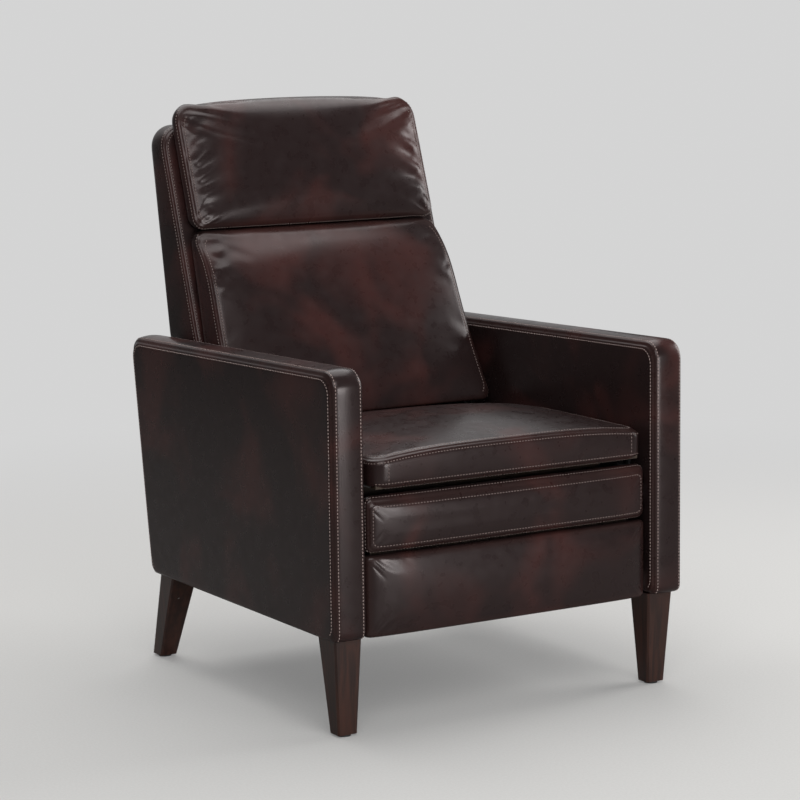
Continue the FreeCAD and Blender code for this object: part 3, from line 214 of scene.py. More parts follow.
def leather_material():
    material, tree, shader, place = new_material("two_tone_leather", {
        "Specular IOR Level": 0.30, "Specular Tint": (1.0, 0.87, 0.86, 1), "Coat Weight": 0.15,
        "Coat Roughness": 0.18})
    patches = add(tree, "ShaderNodeGroup", {
        "Vector": place, "Scale": 6.6, "Dark": LEATHER_DARK, "Warm": LEATHER_WARM}, node_tree=PATCHES)
    seam = add(tree, "ShaderNodeAttribute", attribute_name="seam_distance")
    rub = add(tree, "ShaderNodeMapRange", {
        "Value": seam.outputs["Fac"], "From Min": 0.0015, "From Max": 0.011, "To Min": 0.25, "To Max": 0.0})
    worn = mix(tree, rub.outputs["Result"], patches.outputs["Color"], LEATHER_WORN)
    tree.links.new(worn, shader.inputs["Base Color"])
    grain = add(tree, "ShaderNodeGroup", {"Vector": place, "Scale": 480.0}, node_tree=GRAIN)
    gloss = add(tree, "ShaderNodeMapRange", {"Value": grain.outputs["Gloss"], "To Min": 0.25, "To Max": 0.36})
    tree.links.new(gloss.outputs["Result"], shader.inputs["Roughness"])
    bump(tree, shader, grain.outputs["Height"], 0.03, 0.0005)
    return material


LEATHER = leather_material()
print("made", LEATHER.name)

# %% [markdown]
# ## Thread
# The double rows of stitching are a thick waxed thread, a little lighter than the leather. The
# arms have the same thread in a paler colour, a painted highlight for the light it catches along
# their fronts. Fine twist lines give it its sheen.


# %% Thread material
def thread_material(name, dark, light):
    return flecked_material(name, dark, light, scale=900.0, strength=0.3, distance=0.0003,
                            values={"Roughness": 0.42})


# The arm thread's paler colour is a painted highlight; the thread itself is the dim one.
ARM_THREAD_PAINTED_HIGHLIGHT = thread_material("thread_painted_highlight", (0.21, 0.145, 0.134, 1), (0.44, 0.342, 0.315, 1))
DIM_THREAD = thread_material("dim_thread", (0.105, 0.069, 0.063, 1), (0.23, 0.172, 0.157, 1))
print("made", ARM_THREAD_PAINTED_HIGHLIGHT.name, DIM_THREAD.name)

# %% [markdown]
# ## Boxed covers
# Every upholstered piece of this chair is sewn in the same way: two panels of the same outline
# and a band between them, joined by seams that run round the soft edges. Cubes with bevels
# would have no seams to follow. So one builder lays rings of points at set distances from the
# seams, over any two surfaces, and fills the panels with an even grid. The rings later carry
# the sunk seam and the stitches, and the even grid suits the cloth simulation.

# %% Rings of an outline
CORNER_STEPS = 4
LOW, RIGHT, HIGH, LEFT = range(4)


class Outline:
    """Four-cornered outline with rounded corners that can be drawn in edge by edge, in millimetres."""

    def __init__(self, corners, radii, spacing, inner_radius=26.0):
        self.corners = np.array(corners, float)
        self.radii = radii
        self.inner_radius = inner_radius
        ways = np.roll(self.corners, -1, axis=0) - self.corners
        lengths = np.linalg.norm(ways, axis=1)
        self.ahead = ways / lengths[:, None]
        self.inward = np.stack([-self.ahead[:, 1], self.ahead[:, 0]], axis=1)
        along = max(4, round(max(lengths[0], lengths[2]) / spacing))
        across = max(4, round(max(lengths[1], lengths[3]) / spacing))
        self.steps = [along, across, along, across]
        self.run = [count + 2 * CORNER_STEPS for count in self.steps]
        self.count = sum(self.run)
        self.edge_share = self._edge_shares()

    def _edge_shares(self):
        """Share of each of the four edges at every point of a loop, blended round the corners."""
        rows = []
        for edge, count in enumerate(self.steps):
            for step in range(self.run[edge]):
                row = np.zeros(4)
                row[edge] = 1.0
                if step < CORNER_STEPS:
                    row[edge] = 0.5 + 0.5 * step / CORNER_STEPS
                    row[edge - 1] = 1 - row[edge]
                elif step > count + CORNER_STEPS:
                    row[edge] = 1 - 0.5 * (step - count - CORNER_STEPS) / CORNER_STEPS
                    row[(edge + 1) % 4] = 1 - row[edge]
                rows.append(row)
        return np.array(rows)

    def loop(self, insets):
        """Points of the loop with each edge drawn in by its own inset."""
        ahead, inward = self.ahead, self.inward
        start = self.corners + inward * np.array(insets)[:, None]
        arcs = []
        for i in range(4):
            sides = np.stack([ahead[i - 1], -ahead[i]], axis=1)
            reach = np.linalg.solve(sides, start[i] - start[i - 1])
            corner = start[i - 1] + ahead[i - 1] * reach[0]
            depth = (insets[i - 1] + insets[i]) / 2
            radius = self.radii[i] - depth
            if depth > 0:
                radius = max(radius, min(self.inner_radius, self.radii[i] + 0.5 * depth))
            turn = math.acos(max(-1.0, min(1.0, float(ahead[i - 1] @ ahead[i]))))
            centre = corner + (inward[i - 1] + inward[i]) * radius / (1 + float(ahead[i - 1] @ ahead[i]))
            first = math.atan2(*(-inward[i - 1])[::-1])
            angles = first + turn * np.linspace(0, 1, 2 * CORNER_STEPS + 1)
            arcs.append(centre + radius * np.stack([np.cos(angles), np.sin(angles)], axis=1))
        points = []
        for i in range(4):
            leaving = arcs[i][CORNER_STEPS:]
            coming = arcs[(i + 1) % 4][:CORNER_STEPS + 1]
            share = np.linspace(0, 1, self.steps[i] + 1)[1:-1, None]
            straight = leaving[-1] * (1 - share) + coming[0] * share
            points += [leaving, straight, coming[:-1]]
        return np.concatenate(points)

    def sides(self, loop):
        """What a loop holds along its low, right, high and left edges, with both ends of each."""
        n, m = self.run[:2]
        left = np.concatenate([loop[2 * n + m:], loop[:1]])[::-1]
        return loop[:n + 1], loop[n:n + m + 1], loop[n + m:2 * n + m + 1][::-1], left

    def inside(self, loop):
        """Even grid of points within a loop, for a panel."""
        n, m = self.run[:2]
        low, right, top, left = self.sides(loop)
        s = np.linspace(0, 1, n + 1)[None, :, None]
        t = np.linspace(0, 1, m + 1)[:, None, None]
        blend = (1 - t) * low[None] + t * top[None] + (1 - s) * left[:, None] + s * right[:, None]
        blend -= (1 - s) * (1 - t) * low[0] + s * (1 - t) * low[-1] + (1 - s) * t * top[0] + s * t * top[-1]
        return blend[1:-1, 1:-1]


print("outlines ready, points round a corner", 2 * CORNER_STEPS + 1)

# %% [markdown]
# A seam sits in the middle of a soft edge, at 45 degrees. Going a set distance from it along
# the leather first follows the edge's rounding and then the flat panel or the band, so that
# distance gives both how far a ring is drawn in and how far it has dropped below the panel.


# %% Soft edge
def soft_edge(distance, radius):
    """Draw-in and drop at a signed distance from the seam: positive on the panel, negative on the band."""
    angle = math.pi / 4 + distance / radius
    quarter = math.pi * radius / 4
    if angle > math.pi / 2:
        return radius + distance - quarter, 0.0
    if angle < 0:
        return 0.0, radius - distance - quarter
    return radius * (1 - math.cos(angle)), radius * (1 - math.sin(angle))


SEAM_ROWS = (0.0, 3.0, 7.0, 11.0)
STITCH_ROW = 7.0
PANEL_ROWS = (17.0, 26.0)
RING_ROWS = [*reversed(SEAM_ROWS + PANEL_ROWS), *(-row for row in SEAM_ROWS[1:])]
BAND_LIMITS = {3.0: 0.30, 7.0: 0.38, 11.0: 0.45}
BULGE_POWER = 0.75
FAR_FROM_SEAM = 60.0


class Cover:
    """Boxed cover between two surfaces, kept as plain arrays until it becomes a mesh."""

    def __init__(self, outline, face, rear, edge_radii, swells, face_seam, rear_seam=(0, 0, 0, 0), band_rows=4):
        self.outline, self.face, self.rear = outline, face, rear
        self.edge_radii = edge_radii
        self.swells = np.array(swells, float)
        self.rings = []
        self.places, self.seam, self.mask, self.uv = [], [], [], []
        self.faces = []
        face_seam = outline.edge_share @ np.array(face_seam, float)
        rear_seam = outline.edge_share @ np.array(rear_seam, float)
        for row in RING_ROWS:
            self.add_ring(row, "face", face_seam)
        for step in range(1, band_rows + 1):
            self.add_band(step / (band_rows + 1))
        for row in reversed(RING_ROWS):
            self.add_ring(row, "rear", rear_seam)
        self.join_rings()
        self.fill(self.rings[0], face, False)
        self.fill(self.rings[-1], rear, True)

    def add_points(self, points, seam, mask, uv):
        first = sum(len(block) for block in self.places)
        self.places.append(points)
        self.seam.append(np.broadcast_to(np.asarray(seam, float), len(points)))
        self.mask.append(np.broadcast_to(np.asarray(mask, float), len(points)))
        self.uv.append(uv)
        return first

    def between(self, uv):
        """Face point, and the direction and length from there to the rear surface."""
        start = self.face(uv[:, 0], uv[:, 1])
        run = self.rear(uv[:, 0], uv[:, 1]) - start
        length = np.linalg.norm(run, axis=1)
        return start, run / length[:, None], length

    def bulge(self, share):
        return (4 * share * (1 - share)) ** BULGE_POWER

    def add_ring(self, distance, side, mask):
        insets, drops = zip(*(soft_edge(distance, radius) for radius in self.edge_radii))
        drop = self.outline.edge_share @ np.array(drops)
        plain = self.outline.loop(insets)
        length = self.between(plain)[2]
        share = np.clip(drop / length, 0, 1).mean()
        uv = self.outline.loop(np.array(insets) - self.swells * self.bulge(share)) if distance < 0 else plain
        start, way, length = self.between(uv)
        if distance < 0:
            drop = np.minimum(drop, length * BAND_LIMITS[-distance])
        at = drop if side == "face" else length - drop
        self.rings.append(self.add_points(start + way * at[:, None], abs(distance), mask, uv))

    def add_band(self, share):
        drops = [soft_edge(-SEAM_ROWS[-1], radius)[1] for radius in self.edge_radii]
        drop = self.outline.edge_share @ np.array(drops)
        plain = self.between(self.outline.loop([0.0] * 4))[2]
        at_share = ((drop + (plain - 2 * drop) * share) / plain).mean()
        uv = self.outline.loop(-self.swells * self.bulge(at_share))
        start, way, length = self.between(uv)
        drop = np.minimum(drop, length * BAND_LIMITS[SEAM_ROWS[-1]])
        at = drop + (length - 2 * drop) * share
        self.rings.append(self.add_points(start + way * at[:, None], FAR_FROM_SEAM, 0.0, uv))

    def join_rings(self):
        n = self.outline.count
        for a, b in zip(self.rings, self.rings[1:]):
            self.faces += [(a + i, a + (i + 1) % n, b + (i + 1) % n, b + i) for i in range(n)]

    def fill(self, ring, surface, outward):
        loop = self.uv[self.rings.index(ring)]
        grid = self.outline.inside(loop)
        rows, columns = grid.shape[:2]
        flat = grid.reshape(-1, 2)
        first = self.add_points(surface(flat[:, 0], flat[:, 1]), FAR_FROM_SEAM, 0.0, flat)
        n, m = self.outline.run[:2]
        index = np.zeros((m + 1, n + 1), int)
        index[1:-1, 1:-1] = first + np.arange(rows * columns).reshape(rows, columns)
        index[0], index[:, -1], index[-1], index[:, 0] = self.outline.sides(ring + np.arange(self.outline.count))
        quads = np.stack([index[:-1, :-1], index[:-1, 1:], index[1:, 1:], index[1:, :-1]], axis=2).reshape(-1, 4)
        self.faces += (quads if outward else quads[:, ::-1]).tolist()

    def ring_at(self, distance, side):
        """Vertex numbers of the ring at a signed distance from a seam."""
        number = RING_ROWS.index(distance)
        if side == "rear":
            number = len(self.rings) - 1 - number
        return self.rings[number] + np.arange(self.outline.count)


print("cover builder ready, seam rows", SEAM_ROWS)

# %% [markdown]
# The arrays become a mesh object. Faces must point outwards on a closed form, so a form whose
# volume comes out negative is flipped. The distance from the seam stays on the mesh as an
# attribute: the leather finish reads it for the rubbed edges, and it shapes the sunk seam.


# %% Cover to mesh
def cover_object(name, cover):
    points = np.concatenate(cover.places)
    points[:, 1] += ARM_FRONT_Y
    mesh = bpy.data.meshes.new(name)
    mesh.from_pydata((points * MM).tolist(), [], [tuple(int(i) for i in quad) for quad in cover.faces])
    for label, blocks, unit in (("seam_distance", cover.seam, MM), ("seam_depth", cover.mask, 1.0)):
        values = np.concatenate(blocks) * unit
        mesh.attributes.new(label, "FLOAT", "POINT").data.foreach_set("value", values.astype(np.float32))
    obj = new_object(name, mesh)
    if signed_volume(obj) < 0:
        mesh.flip_normals()
    mesh.polygons.foreach_set("use_smooth", [True] * len(mesh.polygons))
    return obj


def signed_volume(obj):
    mesh = obj.data
    mesh.calc_loop_triangles()
    points = vertex_places(obj)
    corners = np.array([triangle.vertices for triangle in mesh.loop_triangles])
    a, b, c = (points[corners[:, k]] for k in range(3))
    return float(np.einsum("ij,ij->i", a, np.cross(b, c)).sum() / 6)


def vertex_places(obj, label="co"):
    places = np.empty(len(obj.data.vertices) * 3)
    obj.data.vertices.foreach_get(label, places)
    return places.reshape(-1, 3)


def vertex_normals(obj):
    return vertex_places(obj, "normal")


def move_vertices(obj, places):
    obj.data.vertices.foreach_set("co", np.ascontiguousarray(places).ravel())
    obj.data.update()


def read_attribute(obj, label):
    values = np.empty(len(obj.data.vertices), np.float32)
    obj.data.attributes[label].data.foreach_get("value", values)
    return values.astype(float)


def finish_modifiers(obj):
    """Turn an object with modifiers into a plain mesh."""
    evaluated = obj.evaluated_get(bpy.context.evaluated_depsgraph_get())
    made = bpy.data.meshes.new_from_object(evaluated)
    obj.modifiers.clear()
    obj.data = made


def subdivide(obj):
    smooth = obj.modifiers.new("smooth", "SUBSURF")
    smooth.levels = smooth.render_levels = 1
    finish_modifiers(obj)


print("mesh helpers ready")

# %% [markdown]
# ## Foam that swells
# A filled cushion is tight: the leather is held by its seams and the foam pushes it out. That
# could be modelled by hand, but Blender's cloth does it: pressure inside, the seams pinned,
# gravity off. Each cushion starts a little flat, and its rise is limited to a set height.

# %% Cloth
PUFF_FRAMES = 20
SEWN_SHARE = 0.55
TOP_PERCENT, TINY = 99, 1e-9
CLOTH = {"quality": 4, "mass": 0.4, "tension_stiffness": 12.0, "compression_stiffness": 12.0, "shear_stiffness": 6.0,
         "bending_stiffness": 1.0, "use_pressure": True, "uniform_pressure_force": 4.0}


def held_by_seams(obj, cover, edges):
    """Vertices that don't swell: the front seam along the given edges, and the whole rear panel."""
    sewn = cover.outline.edge_share[:, edges].sum(axis=1) > SEWN_SHARE
    end = len(obj.data.vertices)
    rear = [cover.ring_at(row, "rear") for row in SEAM_ROWS + PANEL_ROWS]
    rear.append(np.arange(end - len(cover.places[-1]), end))
    return np.concatenate([cover.ring_at(0.0, "face")[sewn], *rear])


def puff(obj, pinned, rise):
    """Swell a cover by cloth pressure, with pinned vertices held, to at most a rise in millimetres."""
    held = obj.vertex_groups.new(name="sewn")
    held.add([int(i) for i in pinned], 1.0, "REPLACE")
    rest = vertex_places(obj)
    cloth = obj.modifiers.new("puff", "CLOTH")
    for key, value in CLOTH.items():
        setattr(cloth.settings, key, value)
    cloth.settings.vertex_group_mass = held.name
    cloth.settings.effector_weights.gravity = 0.0
    cloth.collision_settings.use_collision = False
    cloth.point_cache.frame_start, cloth.point_cache.frame_end = 1, PUFF_FRAMES
    scene = bpy.context.scene
    for step in range(1, PUFF_FRAMES + 1):
        scene.frame_set(step)
    evaluated = obj.evaluated_get(bpy.context.evaluated_depsgraph_get())
    moved = np.array([vertex.co for vertex in evaluated.data.vertices]) - rest
    obj.modifiers.clear()
    scene.frame_set(1)
    obj.vertex_groups.remove(held)
    reach = np.linalg.norm(moved, axis=1)
    top = np.percentile(reach, TOP_PERCENT)
    share = min(1.0, rise * MM / max(top, TINY))
    limit = np.minimum(1.0, rise * MM / np.maximum(reach * share, TINY))
    move_vertices(obj, rest + moved * (share * limit)[:, None])
    return float(top / MM)


print("cloth ready, frames", PUFF_FRAMES)

# %% [markdown]
# ## Seams and wrinkles
# On the finished form the seam sinks 1.2 mm, and each stitch row presses a shallow line beside
# it. Wrinkles are pulled in where the leather is gathered, at the ends of the cushions. Each is
# a short soft ridge or furrow with a place, a direction, a length, a width and a height.

# %% Sunk seams and wrinkles
def ease(x):
    x = np.clip(x, 0, 1)
    return x * x * (3 - 2 * x)


SEAM_DEPTH, SEAM_WIDTH = 1.2, 1.8
ROW_DEPTH, ROW_WIDTH = 0.3, 1.6
FOLD_START, FOLD_RISE = 6, 14
FOLD_WIDTH, FOLD_SPREAD = 0.7, 0.9
SIDE_DEPTH, SIDE_PLACE = 0.5, 1.8


def sink_seams(obj):
    distance = read_attribute(obj, "seam_distance") / MM
    strength = read_attribute(obj, "seam_depth")
    depth = SEAM_DEPTH * np.exp(-(distance / SEAM_WIDTH) ** 2)
    depth += ROW_DEPTH * np.exp(-((distance - STITCH_ROW) / ROW_WIDTH) ** 2)
    move_vertices(obj, vertex_places(obj) - vertex_normals(obj) * (depth * strength * MM)[:, None])


def wrinkle(obj, furrows):
    """Each furrow: start at the seam, way it runs, length, width and height, in millimetres from the arm front."""
    normals = vertex_normals(obj)
    places = vertex_places(obj) / MM
    lift = np.zeros(len(places))
    for start, way, length, width, height in furrows:
        axis = np.array(way, float) / np.linalg.norm(way)
        offset = places - (np.array(start, float) + (0, ARM_FRONT_Y, 0))
        along = offset @ axis
        across = offset - along[:, None] * axis
        across -= (across * normals).sum(axis=1)[:, None] * normals
        spread = width * (FOLD_WIDTH + FOLD_SPREAD * np.clip(along / length, 0, 1))
        bend = np.linalg.norm(across, axis=1) / spread
        near = ease((along - FOLD_START) / FOLD_RISE) * (1 - ease((along - FOLD_RISE) / (length - FOLD_RISE)))
        lift += height * near * (np.exp(-bend ** 2) - SIDE_DEPTH * np.exp(-(bend - SIDE_PLACE) ** 2))
    move_vertices(obj, (places + normals * lift[:, None]) * MM)


def upholster(name, cover, rise=0.0, sewn=(LOW, RIGHT, HIGH, LEFT), furrows=()):
    """Mesh of a cover: swelled where it has a rise, made finer, wrinkled, and its seams sunk."""
    obj = cover_object(name, cover)
    if rise:
        print(name, "swelled", puff(obj, held_by_seams(obj, cover, sewn), rise))
    subdivide(obj)
    if furrows:
        wrinkle(obj, furrows)
    sink_seams(obj)
    return obj


def dress(obj, body, nodes):
    """Last steps of a leather piece: finish, body, and the CAD nodes it stands for, which are hidden."""
    obj.data.materials.clear()
    obj.data.materials.append(LEATHER)
    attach(obj, body)
    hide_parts(*nodes)
    print(obj.name, "rides", body, "vertices", len(obj.data.vertices))


print("seams sink", SEAM_DEPTH, "mm")

# %% [markdown]
# ## Stitch rows
# Two rows run 7 mm each side of a seam. The builder's rings give their paths on the finished
# surface. Modelling thousands of stitches by hand is out of the question, so the paths are
# kept, body by body, for a Geometry Nodes tree further down.

# %% Stitch paths
STITCH_PATHS = {}
STITCHED_SHARE = 0.45


def keep_path(body, obj, run):
    STITCH_PATHS.setdefault(body, []).append((vertex_places(obj)[run], vertex_normals(obj)[run]))


def keep_rows(body, obj, cover, side, edges, distances=(STITCH_ROW, -STITCH_ROW)):
    """Keep the stitch rows of a seam along the named edges of its outline."""
    wanted = cover.outline.edge_share[:, edges].sum(axis=1) > STITCHED_SHARE
    start = int(np.argmin(wanted))
    order = np.append(np.roll(np.arange(len(wanted)), -start), start)
    runs = [part[wanted[part]] for part in np.split(order, np.flatnonzero(~wanted[order]))]
    for distance in distances:
        ring = cover.ring_at(distance, side)
        for run in runs:
            if len(run) > 2:
                keep_path(body, obj, ring[run])


def keep_upright(body, obj, cover, place):
    """Keep a short row across the band, at one place of the loop."""
    rows = [cover.ring_at(-STITCH_ROW, side)[0] for side in ("face", "rear")]
    run = [ring + place for ring in cover.rings if rows[0] <= ring <= rows[1]]
    keep_path(body, obj, run)


print("stitch paths ready")

# %% [markdown]
# ## Surfaces
# Each cover below is drawn over two surfaces, in millimetres from the arm front and the floor. A
# dome gives a surface its fullness: 1 in the middle, and 0 at a half width. A ramp leads from 0
# at one place to 1 at another.


# %% Surface helpers
def xyz(x, y, z):
    return np.stack(np.broadcast_arrays(x, y, z), axis=1)


def dome(offset, half, power=4):
    return np.clip(1 - np.abs(offset / half) ** power, 0, 1)


def ramp(place, low, high):
    return ease((place - low) / (high - low))


def rectangle(half, low, high, high_half=None):
    """Corners of an outline, the low left one first; its high edge can be narrower."""
    high_half = high_half or half
    return [(-half, low), (half, low), (high_half, high), (-high_half, high)]


print("sample corners", rectangle(2, 0, 1))

# %% [markdown]
# ## Arms
# Each arm is a slim panel: flat leather on both faces and a boxing strip round the edge that
# swells most along the top. Its outline is the side view of the arm, with rounded upper corners
# and a raked rear edge. The stitches run round both faces.

# %% Arm covers
ARM_OUTER, ARM_INNER, ARM_CROWN = 356.0, 292.0, 1.6
MIDDLE_Y, MIDDLE_Z, REACH_Y, REACH_Z = 370, 390, 375, 225
ARM_CORNERS = [(4.0, 168), (689.6, 168), (754.6, 597.6), (4.0, 614.6)]
ARM_RADII = [14, 14, 24, 27]
REAR, TOP, FRONT = RIGHT, HIGH, LEFT


def arm_cover(name, side):
    def outer(y, z):
        crown = ARM_CROWN * dome(y - MIDDLE_Y, REACH_Y) * dome(z - MIDDLE_Z, REACH_Z)
        return xyz(side * (ARM_OUTER + crown), y, z)

    def inner(y, z):
        return xyz(side * ARM_INNER, y, z)

    cover = Cover(Outline(ARM_CORNERS, ARM_RADII, 15), outer, inner, edge_radii=[8.0, 9.0, 9.0, 9.0],
                  swells=[0.0, 2.4, 8.4, 4.6], face_seam=[1] * 4, rear_seam=[1] * 4, band_rows=3)
    obj = upholster("arm_cover_" + name, cover)
    for face in ("face", "rear"):
        keep_rows("base", obj, cover, face, [REAR, TOP, FRONT])
    dress(obj, "base", [kind + name for kind in ("arm_boxing_", "arm_inner_panel_", "arm_outer_panel_")])


for side_name, side_sign in (("left", -1), ("right", 1)):
    arm_cover(side_name, side_sign)

# %% [markdown]
# ## Back slab
# The back is a slab that leans 18 degrees in front and less behind, so it is thin at the top.
# Its front seams carry double stitching, and its lower end runs narrower between the arms.

# %% Back slab
SLAB_HALF, SLAB_LOW_HALF = 278.0, 267.0
SLAB_LOW, SLAB_KNEE, SLAB_TOP = 356.0, 476.0, 988.0
FRONT_Y, FRONT_Z, FRONT_LEAN = 637.0, 610.0, math.tan(math.radians(18.4))
REAR_Y, REAR_Z, REAR_LEAN = 749.0, 605.0, 0.17277
NARROW_TO, WIDE_FROM = 560, 596
SLAB_CROWN, CROWN_MARGIN = 3.0, 2


def slab_front(z):
    return FRONT_Y + (np.maximum(z, SLAB_KNEE) - FRONT_Z) * FRONT_LEAN


def slab_rear(z):
    return REAR_Y + (z - REAR_Z) * REAR_LEAN


def slab_cover():
    def narrowed(x, z):
        width = SLAB_LOW_HALF + (SLAB_HALF - SLAB_LOW_HALF) * ramp(z, NARROW_TO, WIDE_FROM)
        return x * width / SLAB_HALF

    def front(x, z):
        return xyz(narrowed(x, z), slab_front(z), z)

    def rear(x, z):
        upright = dome(z - (SLAB_TOP + SLAB_LOW) / 2, (SLAB_TOP - SLAB_LOW) / 2 + CROWN_MARGIN)
        return xyz(narrowed(x, z), slab_rear(z) + SLAB_CROWN * dome(x, SLAB_HALF + CROWN_MARGIN) * upright, z)

    cover = Cover(Outline(rectangle(SLAB_HALF, SLAB_LOW, SLAB_TOP), [12, 12, 42, 42], 15), front, rear,
                  edge_radii=[8.0, 9.0, 14.0, 9.0], swells=[0.0, 1.5, 1.0, 1.5], face_seam=[0, 1, 1, 1],
                  rear_seam=[0, 1, 1, 1])
    obj = upholster("back_slab", cover)
    keep_rows("back", obj, cover, "face", [RIGHT, HIGH, LEFT])
    dress(obj, "back", ["back_shell"])


slab_cover()

# %% [markdown]
# ## Lumbar cushion
# The lower back cushion is a wedge: deep at the seat, thin at the top. Its side seams bow
# forward, and its face is full in the middle. The rear face lies on the slab and stays flat.

# %% Lumbar cushion
LUMBAR_LOW, LUMBAR_HIGH, LUMBAR_HALF, LUMBAR_HIGH_HALF = 463, 799, 272, 257
LUMBAR_CROWN, CROWN_LOW, CROWN_HALF, LUMBAR_RISE = 14.0, 468, 270, 6.0
SEAM_LOW, SEAM_HIGH = 474, 776
SEAM_Y, SEAM_RUN, SEAM_BOW, BOW_POWER = 492, 165, 14.5, 3.25
CUSHION_GAP = 0.8
LUMBAR_FURROWS = [
    ((-252, 640, 750), (1, 0.1, 0.42), 70, 8, 1.7),
    ((-255, 618, 720), (1, 0.1, 0.30), 62, 7, 1.5),
    ((-257, 600, 692), (1, 0.1, 0.22), 58, 8, 1.2),
    ((-264, 540, 580), (1, 0.0, 0.60), 80, 13, 1.6),
    ((254, 640, 745), (-1, 0.1, 0.45), 64, 9, 1.6),
    ((258, 600, 690), (-1, 0.1, 0.25), 58, 9, 1.2),
    ((265, 540, 570), (-1, 0.0, 0.50), 80, 13, 1.6),
]


def lumbar_seam(z):
    """Depth of the side seam, which runs back over its height and bows forward."""
    share = np.clip((z - SEAM_LOW) / (SEAM_HIGH - SEAM_LOW), -0.1, 1.1)
    return SEAM_Y + SEAM_RUN * share - SEAM_BOW * np.sin(math.pi * np.clip(share, 0, 1) ** BOW_POWER)


def cushion_rear(x, z):
    return xyz(x, slab_front(z) - CUSHION_GAP, z)


def lumbar_cushion():
    def front(x, z):
        share = np.clip((z - CROWN_LOW) / (LUMBAR_HIGH - CROWN_LOW), 0, 1)
        upright = (1 - (1 - share) ** 4) * (1 - 0.4 * share ** 6)
        return xyz(x, lumbar_seam(z) - LUMBAR_CROWN * dome(x, CROWN_HALF) * upright, z)

    corners = rectangle(LUMBAR_HALF, LUMBAR_LOW, LUMBAR_HIGH, LUMBAR_HIGH_HALF)
    cover = Cover(Outline(corners, [18, 18, 26, 26], 10), front, cushion_rear,
                  edge_radii=[10.0, 9.0, 16.0, 9.0], swells=[1.0, 2.0, 0.0, 2.0], face_seam=[0, 1, 0, 1])
    obj = upholster("lumbar_cover", cover, LUMBAR_RISE, [LOW, RIGHT, LEFT], LUMBAR_FURROWS)
    keep_rows("back", obj, cover, "face", [RIGHT, LEFT])
    dress(obj, "back", ["lumbar_cushion"])


lumbar_cushion()

# %% [markdown]
# ## Head pillow
# The pillow is sewn at its sides and along its bottom edge, and its front panel rolls over the
# top without a seam. The leather gathers at both ends, which gives it its soft folds.

# %% Head pillow
PILLOW_HALF, PILLOW_LOW, PILLOW_HIGH = 256, 803, 1023
PILLOW_CROWN, PILLOW_ARCH, ARCH_LOW, PILLOW_RISE = 18.0, 7.0, 930, 7.0
PILLOW_Y, PILLOW_Z, PILLOW_LEAN = 664, 806, 0.352
PILLOW_FURROWS = [
    ((-250, 727, 988), (1, 0.1, 0.60), 62, 7, 1.5),
    ((-250, 718, 962), (1, 0.1, 0.30), 58, 7, 1.3),
    ((-250, 700, 912), (1, 0.0, 0.85), 104, 11, 2.6),
    ((-250, 690, 882), (1, 0.0, 0.66), 100, 10, 2.2),
    ((-250, 680, 852), (1, 0.0, 0.42), 112, 13, 2.6),
    ((-250, 672, 826), (1, 0.0, 0.04), 70, 10, 1.4),
    ((250, 716, 958), (-1, 0.0, 0.40), 66, 9, 1.8),
    ((250, 704, 922), (-1, 0.0, 0.70), 88, 11, 2.4),
    ((250, 690, 884), (-1, 0.0, 0.42), 92, 11, 2.8),
    ((250, 678, 848), (-1, 0.0, 0.20), 96, 12, 2.6),
]


def head_pillow():
    def arched(x, z):
        return z + PILLOW_ARCH * dome(x, PILLOW_HALF, 2) * ramp(z, ARCH_LOW, PILLOW_HIGH)

    def front(x, z):
        share = np.clip((z - PILLOW_LOW) / (PILLOW_HIGH - PILLOW_LOW), 0, 1)
        upright = (1 - (1 - share) ** 4) ** 0.8 * (1 - 0.5 * share ** 4)
        crown = PILLOW_CROWN * dome(x, PILLOW_HALF) * upright
        return xyz(x, PILLOW_Y + (z - PILLOW_Z) * PILLOW_LEAN - crown, arched(x, z))

    def rear(x, z):
        return cushion_rear(x, arched(x, z))

    cover = Cover(Outline(rectangle(PILLOW_HALF, PILLOW_LOW, PILLOW_HIGH), [18, 18, 32, 32], 8), front, rear,
                  edge_radii=[15.0, 10.0, 18.0, 10.0], swells=[3.0, 2.0, 5.0, 2.0], face_seam=[0.4, 1, 0, 1])
    obj = upholster("pillow_cover", cover, PILLOW_RISE, [LOW, RIGHT, LEFT], PILLOW_FURROWS)
    keep_rows("back", obj, cover, "face", [RIGHT, LEFT])
    keep_rows("back", obj, cover, "face", [LOW], [-STITCH_ROW])
    dress(obj, "back", ["head_pillow"])


head_pillow()

# %% [markdown]
# ## Seat cushion
# The seat is a boxed cushion. Its top panel arches across the chair, its front band is stitched
# above and below, and a lip folds under the front edge over the nose board.

# %% Seat cushion
SEAT_HALF, SEAT_FRONT, SEAT_REAR = 273, 7, 566
SEAT_SEAM, SEAT_FALL, FALL_FROM, SEAT_RISE = 468, 20, 300, 5.0
END_ARCH, MORE_ARCH, ARCH_RUN, ARCH_LOSS = 13, 10, 420, 0.55
ARCH_HALF, ARCH_POWER = 274, 3.2
SEAT_BOTTOM, SEAT_LIP, LIP_FROM, LIP_TO = 415.0, 11.6, 118, 132


